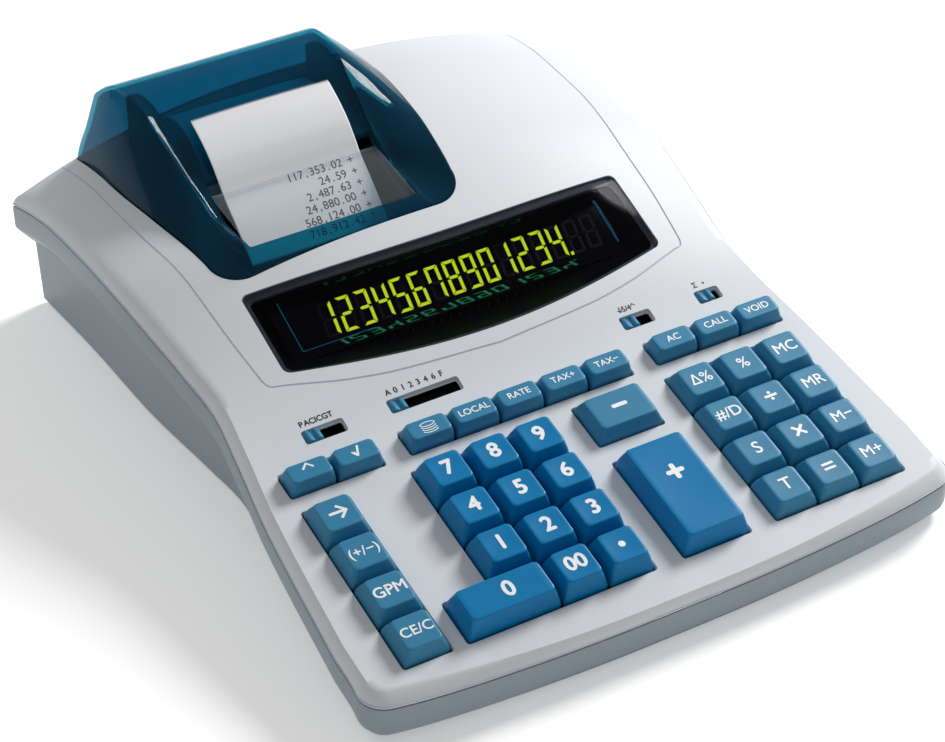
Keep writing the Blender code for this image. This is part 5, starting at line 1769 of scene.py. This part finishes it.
    def cover(self) -> Piece:
        """The smoked cover with its wall and its mouth."""
        rows = self.cover_rows()
        bm = bmesh.new()
        loops = Maker.skin(bm, rows, closed=False)
        width, side, lift = len(rows[0]), 9, 0.0003
        first, last = rows[0], rows[-1]
        bar_low = []
        for k in range(side, width - side):
            t = (k - side) / (width - 2 * side - 1)
            x = first[0].x + (first[-1].x - first[0].x) * t
            bar_low.append(self.shape.over(x, self.front_y, lift))
        half_way = [a.lerp(b, 0.5) + Vector((0, 0, 0.0004)) for a, b in zip(bar_low, first[side:width - side])]
        low = [bm.verts.new(p) for p in bar_low]
        mid = [bm.verts.new(p) for p in half_way]
        edge = loops[0][side:width - side]
        for one, two in ((low, mid), (mid, edge)):
            for k in range(len(one) - 1):
                bm.faces.new((one[k], one[k + 1], two[k + 1], two[k]))
        bm.faces.new((low[0], mid[0], edge[0], *reversed(loops[0][1:side]), loops[0][0]))
        bm.faces.new((low[-1], loops[0][-1], *reversed(loops[0][width - side:-1]), edge[-1], mid[-1]))
        drop = [self.shape.over(point.x, self.rear_y, lift) for point in last]
        rows_down = [loops[-1]]
        for t in (0.12, 0.4, 0.7, 1.0):
            row = []
            for k in range(width):
                point = last[k].lerp(drop[k], t)
                point.y = last[k].y + (self.rear_y - last[k].y) * min(1.0, t * 4)
                row.append(bm.verts.new(point))
            rows_down.append(row)
        for one, two in zip(rows_down, rows_down[1:]):
            for k in range(width - 1):
                bm.faces.new((one[k], two[k], two[k + 1], one[k + 1]))
        bmesh.ops.remove_doubles(bm, verts=bm.verts, dist=2e-5)
        bmesh.ops.dissolve_degenerate(bm, edges=bm.edges, dist=2e-6)
        made = Maker.build("smoked_cover", bm, self.palette["smoked_cover"], smooth=38)
        wanted = sum(p.normal.z * p.area for p in made.data.polygons)
        if wanted < 0:
            made.data.flip_normals()
        Maker.thicken(made, self.cover_wall, -1.0)
        bm = bmesh.new()
        reach = self.arch_front - 0.0012
        ring = Keyboard.rounded(reach, self.mouth_length / 2, 0.0012, 0.0)
        middle = self.arch_x(0.0, self.mouth_y)
        rings = [[Vector((middle + p.x, self.mouth_y + self.mouth_length / 2 + p.y, z)) for p in ring]
                 for z in (0.048, 0.12)]
        Maker.plug(bm, rings)
        Maker.cut(made, Maker.build("mouth", bm, None, smooth=0))
        Maker.shade(made.data, 38)
        return made

    def tear_edge(self) -> tuple[float, float]:
        """(y, z) of the tear bar's toothed edge."""
        return self.mouth_rear - 0.0051, self.foot_z + 0.0033

    def tear_bar(self) -> list[Piece]:
        """The clear bar and its row of teeth."""
        reach = self.arch_front - 0.0016
        middle = self.arch_x(0.0, self.mouth_y)
        edge_y, edge_z = self.tear_edge()
        start_y, start_z = self.mouth_y + 0.0004, self.foot_z - 0.0006
        bm = bmesh.new()
        rows = []
        for t in np.linspace(0.0, 1.0, 17):
            y, z = start_y + (edge_y - start_y) * t, start_z + (edge_z - start_z) * t
            crown = 0.0005 * math.sin(math.pi * t)
            rows.append([Vector((middle + reach * (2 * k / 40 - 1), y, z + crown)) for k in range(41)])
        Maker.skin(bm, rows, closed=False)
        bar = Maker.build("tear_window", bm, self.palette["clear_bar"], turn_out=False)
        if sum(p.normal.z for p in bar.data.polygons) < 0:
            bar.data.flip_normals()
        Maker.thicken(bar, 0.0011, -1.0)
        Maker.soften(bar, 0.00018, 2, 50)
        bm = bmesh.new()
        tooth, deep = 0.00058, 0.0009
        low, high = -0.0011, -0.0001
        outline = [(-tooth, 0.0), (tooth, 0.0), (0.0, deep)]
        bottom = [bm.verts.new((x, y, low)) for x, y in outline]
        top = [bm.verts.new((x, y, high)) for x, y in outline]
        bm.faces.new(top)
        bm.faces.new(list(reversed(bottom)))
        for i in range(3):
            bm.faces.new((bottom[i], bottom[(i + 1) % 3], top[(i + 1) % 3], top[i]))
        shape = Maker.build("tooth", bm, self.palette["clear_bar"], smooth=0)
        count = int(2 * reach / (2 * tooth))
        points = [Vector((middle - reach + tooth * (2 * i + 1), edge_y - 0.00005, edge_z)) for i in range(count)]
        teeth = Repeat.along("tear_teeth", points, shape, self.palette["clear_bar"])
        return [bar, teeth]

    def paper_path(self) -> tuple[Curve, Curve, float, float]:
        """The strip's path: y and z over its length, the length, and where the tear edge is along it."""
        edge_y, edge_z = self.tear_edge()
        knots = self.knots
        platen_y = self.shape.rear - 0.0905
        path = [(platen_y - 0.0036, 0.0562), (platen_y + 0.0016, edge_z - 0.0158),
                (edge_y - 0.0082, edge_z - 0.0084),
                (edge_y + 0.0008, edge_z - 0.0009), (edge_y + 0.0046, edge_z + 0.0043),
                (edge_y + 0.0090, edge_z + 0.0096), (edge_y + 0.0156, edge_z + 0.0150),
                (knots[4][0] + 0.0010, knots[4][1] + 0.0021)]
        lengths = [0.0]
        for (y0, z0), (y1, z1) in zip(path, path[1:]):
            lengths.append(lengths[-1] + math.hypot(y1 - y0, z1 - z0))
        path_y, path_z = (Curve(*zip(lengths, (p[k] for p in path))) for k in range(2))
        return path_y, path_z, lengths[-1], lengths[3]

    def paper_strip(self) -> list[Piece]:
        """The strip with its torn edge, and the figures printed on it."""
        path_y, path_z, length, edge = self.paper_path()
        half, teeth = self.paper / 2, 58
        bm = bmesh.new()
        rows = []
        steps = 60
        for i in range(steps + 1):
            t = length * i / steps
            row = []
            for k in range(2 * teeth + 1):
                x = -half + self.paper * k / (2 * teeth)
                s = t + (0.0004 * (1 if k % 2 else -1) if i == steps else 0.0)
                risen = max(0.0, (t - edge) / (length - edge))
                crown = 0.0005 * (1 - (x / half) ** 2) * risen
                row.append(Vector((self.centre + x - 0.0012 * risen, path_y(s), path_z(s) + crown)))
            rows.append(row)
        rows[-1] = [p + (Vector((0, 0.00032, 0.0003)) if k % 2 else Vector((0, -0.00032, -0.0003)))
                    for k, p in enumerate(rows[-1])]
        Maker.skin(bm, rows, closed=False)
        strip = Maker.build("printed_strip", bm, self.palette["strip_paper"], turn_out=False)
        Maker.thicken(strip, 0.00012, 0.0)

        def place(p: Vector) -> Vector:
            """Lays a flat point on the strip; its Y is the distance below the tear edge, turned about."""
            s = edge + p.y
            ahead = Vector((0, path_y(s + 0.0003) - path_y(s - 0.0003), path_z(s + 0.0003) - path_z(s - 0.0003)))
            off = Vector((0, -ahead.z, ahead.y)).normalized()
            return Vector((self.centre + p.x, path_y(s), path_z(s))) + off * (0.00008 + p.z)
        meshes = []
        for row, words in enumerate(self.lines):
            for i, letter in enumerate(reversed(words)):
                if letter == " ":
                    continue
                mesh = Maker.text(letter, self.letter, 0.004)
                x = half - 0.0050 - self.letter_pitch * i
                mesh.transform(Matrix.Translation((x, -0.0020 - self.line_pitch * row, 0.0)))
                meshes.append(mesh)
        print_ = Maker.lay("printed_figures", meshes, place, 0.00002, self.palette["print_ink"])
        return [strip, print_]

    def bay(self) -> Piece:
        """Dark walls round the space under the cover."""
        outline = self.outline(0.0008, self.shape.rear - self.shape.wall - 0.0006)
        rows = [[self.shape.over(x, y, -self.shape.wall - 0.0004) for x, y in outline],
                [Vector((x, y, 0.0215)) for x, y in outline]]
        bm = bmesh.new()
        loops = Maker.skin(bm, rows)
        bm.faces.new(loops[-1])
        made = Maker.build("printer_bay", bm, self.palette["inside_black"], turn_out=False)
        Maker.thicken(made, 0.0006, 0.0)
        return made

    def cheeks(self) -> Piece:
        """Two dark upright plates that hold the roll between them."""
        bm = bmesh.new()
        for side in (-1, 1):
            rows = []
            for i in range(37):
                y = self.mouth_y + 0.004 + (self.rear_y - self.mouth_y - 0.010) * i / 36
                x = self.centre + side * (0.0350 + 0.0040 * self.share(y))
                steps = np.linspace(0.0, self.length, 200)
                high = min(self.profile_z(t) for t in steps if abs(self.profile_y(t) - y) < 0.0012) - 0.0060
                high = max(high, 0.040)
                rows.append([Vector((x - 0.0006, y, 0.028)), Vector((x + 0.0006, y, 0.028)),
                             Vector((x + 0.0006, y, high)), Vector((x - 0.0006, y, high))])
            Maker.plug(bm, rows)
        return Maker.build("roll_cheeks", bm, self.palette["inside_black"])

    def build(self) -> None:
        """Builds and places every piece of the printer."""
        nodes, palette = self.frame["nodes"], self.palette
        cover = self.cover()
        bar, teeth = self.tear_bar()
        strip, print_ = self.paper_strip()
        for piece, node, slot in ((cover, "printer_cover", Slot.SMOKE), (bar, "tear_bar", Slot.CLEAR),
                                  (strip, "paper_strip", Slot.PAPER), (teeth, None, Slot.CLEAR),
                                  (print_, None, Slot.BLACK)):
            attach(piece, Body.COVER.value)
            if node:
                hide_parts(node)
        for inner in (self.bay(), self.cheeks()):
            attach(inner, Body.CASE.value)
        for node, finish in (("paper_roll", "strip_paper"), ("platen_roller", "roller_rubber"),
                             ("ink_roller", "ink_felt")):
            nodes[node].data.materials.clear()
            nodes[node].data.materials.append(palette[finish])
            nodes[node].data.shade_smooth()
        LOG.info("printer: cover, bar with teeth, strip with %d lines, bay and rollers", len(self.lines))


# ---- inside, rear and underside
@dataclass
class Interior:
    """What sits inside the case and on its rear and underside."""

    shape: CaseShape
    palette: Palette
    frame: dict
    board_depth: float = 0.0134
    board: float = 0.0015
    chip: Point = (0.0180, 0.0070, 0.0032)
    coil: Point = (0.0340, 0.0300, 0.0300)
    inlet_x: float = 0.075
    inlet_z: float = 0.018
    inlet: Point = (0.0286, 0.0180, 0.0206)
    pin_spread: float = 0.0050
    foot_radius: float = 0.009
    foot_from_rim: float = 0.0337
    foot_from_rear: float = 0.022

    def dress(self) -> None:
        """Gives the kept pieces of the frame their finishes."""
        looks = {"key_plate": "inside_black", "circuit_board": "board_lacquer",
                 "power_transformer": "sheet_steel", "power_inlet": "inside_black",
                 "front_foot_strip": "roller_rubber", "printer_frame": "inside_black"}
        for node, finish in looks.items():
            mesh = self.frame["nodes"][node].data
            mesh.materials.clear()
            mesh.materials.append(self.palette[finish])

    def chips(self) -> Piece:
        """Chips under the rear half of the board."""
        bm = bmesh.new()
        length, width, height = self.chip
        Maker.block(bm, (length, width, height), Vector())
        for i in range(7):
            for side in (-1, 1):
                Maker.block(bm, (0.0005, 0.0012, 0.0030),
                            Vector(((i - 3) * 0.00254, side * (width / 2 + 0.0006), 0.0004)))
        shape = Maker.build("chip", bm, self.palette["chip_black"])
        below = -self.board_depth - self.board - self.chip[2] / 2 - 0.0004
        points = [self.shape.deck(x, y, below) for y in (0.060, 0.078)
                  for x in (-0.062, -0.034, -0.006, 0.022, 0.050)]
        return Repeat.along("board_chips", points, shape, self.palette["chip_black"])

    def winding(self) -> Piece:
        """The copper winding that shows at the transformer's ends."""
        node = self.frame["nodes"]["power_transformer"]
        corners = [v.co for v in node.data.vertices]
        low = Vector(min(c[k] for c in corners) for k in range(3))
        high = Vector(max(c[k] for c in corners) for k in range(3))
        middle = (low + high) / 2
        rings = []
        for x, grow in ((low.x - 0.0045, -0.003), (low.x - 0.0030, 0.0), (low.x + 0.001, 0.0)):
            ring = Keyboard.rounded(self.coil[1] / 2 + grow, self.coil[2] / 2 + grow, 0.006, 0.0)
            rings.append([Vector((x, middle.y + p.x, middle.z + p.y)) for p in ring])
        bm = bmesh.new()
        for flip in (1, -1):
            rows = [[Vector((middle.x + flip * (p.x - middle.x), p.y, p.z)) for p in ring] for ring in rings]
            Maker.plug(bm, rows)
        return Maker.build("transformer_winding", bm, self.palette["copper_winding"])

    def socket_cutter(self) -> Piece:
        """A cutter for the hole round the power inlet."""
        bm = bmesh.new()
        Maker.block(bm, (self.inlet[0] + 0.0002, 0.012, self.inlet[2] + 0.0002),
                    Vector((self.inlet_x, self.shape.rear, self.inlet_z)))
        return Maker.build("inlet_hole", bm, None, smooth=0)

    def inlet_pins(self) -> Piece:
        """Two round contacts in the power inlet."""
        bm = bmesh.new()
        turn = Matrix.Rotation(math.pi / 2, 4, "X")
        for side in (-1, 1):
            at = Vector((self.inlet_x + side * self.pin_spread, self.shape.rear - 0.0066, self.inlet_z))
            bmesh.ops.create_cone(bm, cap_ends=True, segments=32, radius1=0.0012, radius2=0.0012, depth=0.0070,
                                  matrix=Matrix.Translation(at) @ turn)
            tip = at - Vector((0.0, -0.0038, 0.0))
            bmesh.ops.create_cone(bm, cap_ends=True, segments=32, radius1=0.0012, radius2=0.0007, depth=0.0006,
                                  matrix=Matrix.Translation(tip) @ turn)
        return Maker.build("inlet_pins", bm, self.palette["brass_pin"])

    def feet(self) -> Piece:
        """Two round pads at the rear of the underside."""
        bm = bmesh.new()
        reach = self.shape.width / 2 - self.foot_from_rim
        for side in (-1, 1):
            rings = []
            for radius, z in ((self.foot_radius - 0.0006, 0.0), (self.foot_radius, 0.0005),
                              (self.foot_radius, 0.0018)):
                rings.append([Vector((side * reach + radius * math.cos(a), self.shape.rear - self.foot_from_rear
                                      + radius * math.sin(a), z)) for a in np.linspace(0, 2 * math.pi, 65)[:-1]])
            Maker.plug(bm, rings)
        return Maker.build("rear_feet", bm, self.palette["roller_rubber"])

    def screws(self) -> Piece:
        """Cross-headed screws in the underside."""
        bm = bmesh.new()
        bmesh.ops.create_cone(bm, cap_ends=True, segments=40, radius1=0.0026, radius2=0.0031, depth=0.0009)
        head = Maker.build("screw", bm, self.palette["sheet_steel"])
        for size in ((0.0034, 0.0007, 0.0010), (0.0007, 0.0034, 0.0010)):
            bm = bmesh.new()
            Maker.block(bm, size, Vector((0.0, 0.0, -0.0004)))
            Maker.cut(head, Maker.build("cross", bm, None, smooth=0))
        front, rear = self.shape.front, self.shape.rear
        points = [Vector((x, y, 0.0013)) for x in (-0.092, 0.092)
                  for y in (front + 0.050, front + 0.150, rear - 0.045)]
        return Repeat.along("base_screws", points, head, self.palette["sheet_steel"])

    def build(self) -> None:
        """Builds and places the pieces."""
        self.dress()
        for piece, slot in ((self.chips(), Slot.BLACK), (self.winding(), Slot.STEEL),
                            (self.inlet_pins(), Slot.STEEL), (self.feet(), Slot.RUBBER),
                            (self.screws(), Slot.STEEL)):
            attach(piece, Body.CASE.value)
        LOG.info("interior: board with chips, transformer, inlet, feet and screws")


# ---- case
@dataclass
class Case:
    """Puts the two shells together with every opening cut in them."""

    shell: CaseShell
    keyboard: Keyboard
    switches: Switches
    display: Display
    printer: Printer
    interior: Interior
    groove_front: Curve = field(default_factory=lambda: Curve(
        (0.0, 0.1248), (0.0408, 0.1276), (0.0586, 0.1306), (0.0850, 0.1386)))
    groove_side: Curve = field(default_factory=lambda: Curve(
        (0.1393, 0.0880), (0.1655, 0.0909), (0.1928, 0.0927), (0.2270, 0.0967), (0.2695, 0.0987),
        (0.2946, 0.0999)))

    def groove_places(self) -> list[tuple[float, float]]:
        """The line of the fine groove round the window, from rear left to rear right."""
        start = self.shell.shape.front
        half = [(x, start + self.groove_front(x)) for x in np.linspace(0.0, 0.0845, 34)]
        last, first = half[-1], (self.groove_side(0.1440), start + 0.1440)
        control = (first[0] - 0.0004, last[1] + 0.0002)
        for t in np.linspace(0.0, 1.0, 9)[1:]:
            half.append(tuple((1 - t) ** 2 * last[k] + 2 * t * (1 - t) * control[k] + t * t * first[k]
                              for k in range(2)))
        for y in np.linspace(0.1440, 0.2946, 62)[1:]:
            half.append((self.groove_side(y), start + y))
        return [(-x, y) for x, y in reversed(half[1:])] + half

    def build(self) -> None:
        """Builds the shells, cuts them and puts them in place."""
        upper, lower = self.shell.upper(), self.shell.lower()
        cutters = [*self.keyboard.well_cutter(), self.switches.slot_cutter(), *self.display.cutters(),
                   self.printer.opening_cutter(), self.shell.groove(self.groove_places())]
        for cutter in cutters:
            Maker.cut(upper, cutter)
        Maker.cut(lower, self.interior.socket_cutter())
        lip = self.shell.seam_lip()
        for piece in (upper, lower):
            Maker.shade(piece.data, 32)
        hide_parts("top_case")
        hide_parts("bottom_case")
        for piece, slot in ((upper, Slot.WHITE), (lower, Slot.GREY), (lip, Slot.BLACK)):
            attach(piece, Body.CASE.value)
        LOG.info("case: upper shell with %d cuts, lower shell and lip", len(cutters))


# ---- studio
@dataclass(frozen=True)
class Lamp:
    """An area light: where it hangs, what it points at, its size and its power."""

    name: str
    place: Point
    aim: Point
    size: float
    power: float
    colour: Colour = (1.0, 1.0, 1.0)

    def build(self) -> None:
        """Adds the light to the scene."""
        data = bpy.data.lights.new(self.name, "AREA")
        data.shape = "DISK"
        data.size = self.size
        data.energy = self.power
        data.color = self.colour
        holder = bpy.data.objects.new(self.name, data)
        holder.location = self.place
        holder.rotation_euler = (Vector(self.aim) - Vector(self.place)).to_track_quat("-Z", "Y").to_euler()
        bpy.context.scene.collection.objects.link(holder)


@dataclass
class Studio:
    """Camera, lights, pale floor and even surroundings."""

    place: Point = (-0.4090, -0.7166, 0.6453)
    turn: Point = (52.760739, 0.376542, -30.020430)
    lens: float = 105.112
    floor: float = 14.0
    surround: float = 0.35
    lamps: tuple[Lamp, ...] = (
        Lamp("key_light", (1.20, 0.35, 0.95), (0.0, 0.0, 0.03), 0.55, 25.0),
        Lamp("rear_light", (-0.5, 1.4, 0.9), (0.0, 0.0, 0.05), 0.9, 3.0))

    def build(self) -> None:
        """Sets the studio up."""
        scene = bpy.context.scene
        data = bpy.data.cameras.new("view")
        data.lens = self.lens
        data.sensor_width = 36.0
        data.clip_start = 0.01
        data.clip_end = 60.0
        camera = bpy.data.objects.new("view", data)
        camera.location = self.place
        camera.rotation_euler = tuple(math.radians(v) for v in self.turn)
        scene.collection.objects.link(camera)
        scene.camera = camera
        for lamp in self.lamps:
            lamp.build()
        bm = bmesh.new()
        bmesh.ops.create_grid(bm, x_segments=2, y_segments=2, size=self.floor / 2)
        finish = Moulded("studio_floor", (0.95, 0.95, 0.95), 0.8, tone=0.005, dust=0.0, wander=0.0,
                         depth=0.000001, specular=0.1)
        floor = Maker.build("floor", bm, finish.make(), turn_out=False)
        floor.location.z = -0.0002
        glow = floor.data.materials[0].node_tree.nodes["Principled BSDF"]
        preset(glow, {"Emission Color": (1.0, 1.0, 1.0, 1.0), "Emission Strength": 0.28})
        world = bpy.data.worlds.new("surroundings")
        world.use_nodes = True
        shade = world.node_tree.nodes["Background"]
        preset(shade, {"Color": (1.0, 1.0, 1.0, 1.0), "Strength": self.surround})
        scene.world = world
        scene.view_settings.view_transform = "Standard"
        LOG.info("studio: camera, %d lights and floor", len(self.lamps))


def main() -> None:
    """Builds every sub-assembly round the frame, then the studio."""
    logging.basicConfig(level=logging.INFO)
    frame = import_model()
    palette = Palette()
    shape = CaseShape(front=-0.14725, rear=0.14725)
    keyboard, switches = Keyboard(shape, palette), Switches(shape, palette, frame)
    display, printer = Display(shape, palette), Printer(shape, palette, frame)
    interior = Interior(shape, palette, frame)
    Case(CaseShell(shape, palette), keyboard, switches, display, printer, interior).build()
    for part in (keyboard, switches, display, printer, interior, Studio()):
        part.build()


if __name__ == "__main__":
    main()
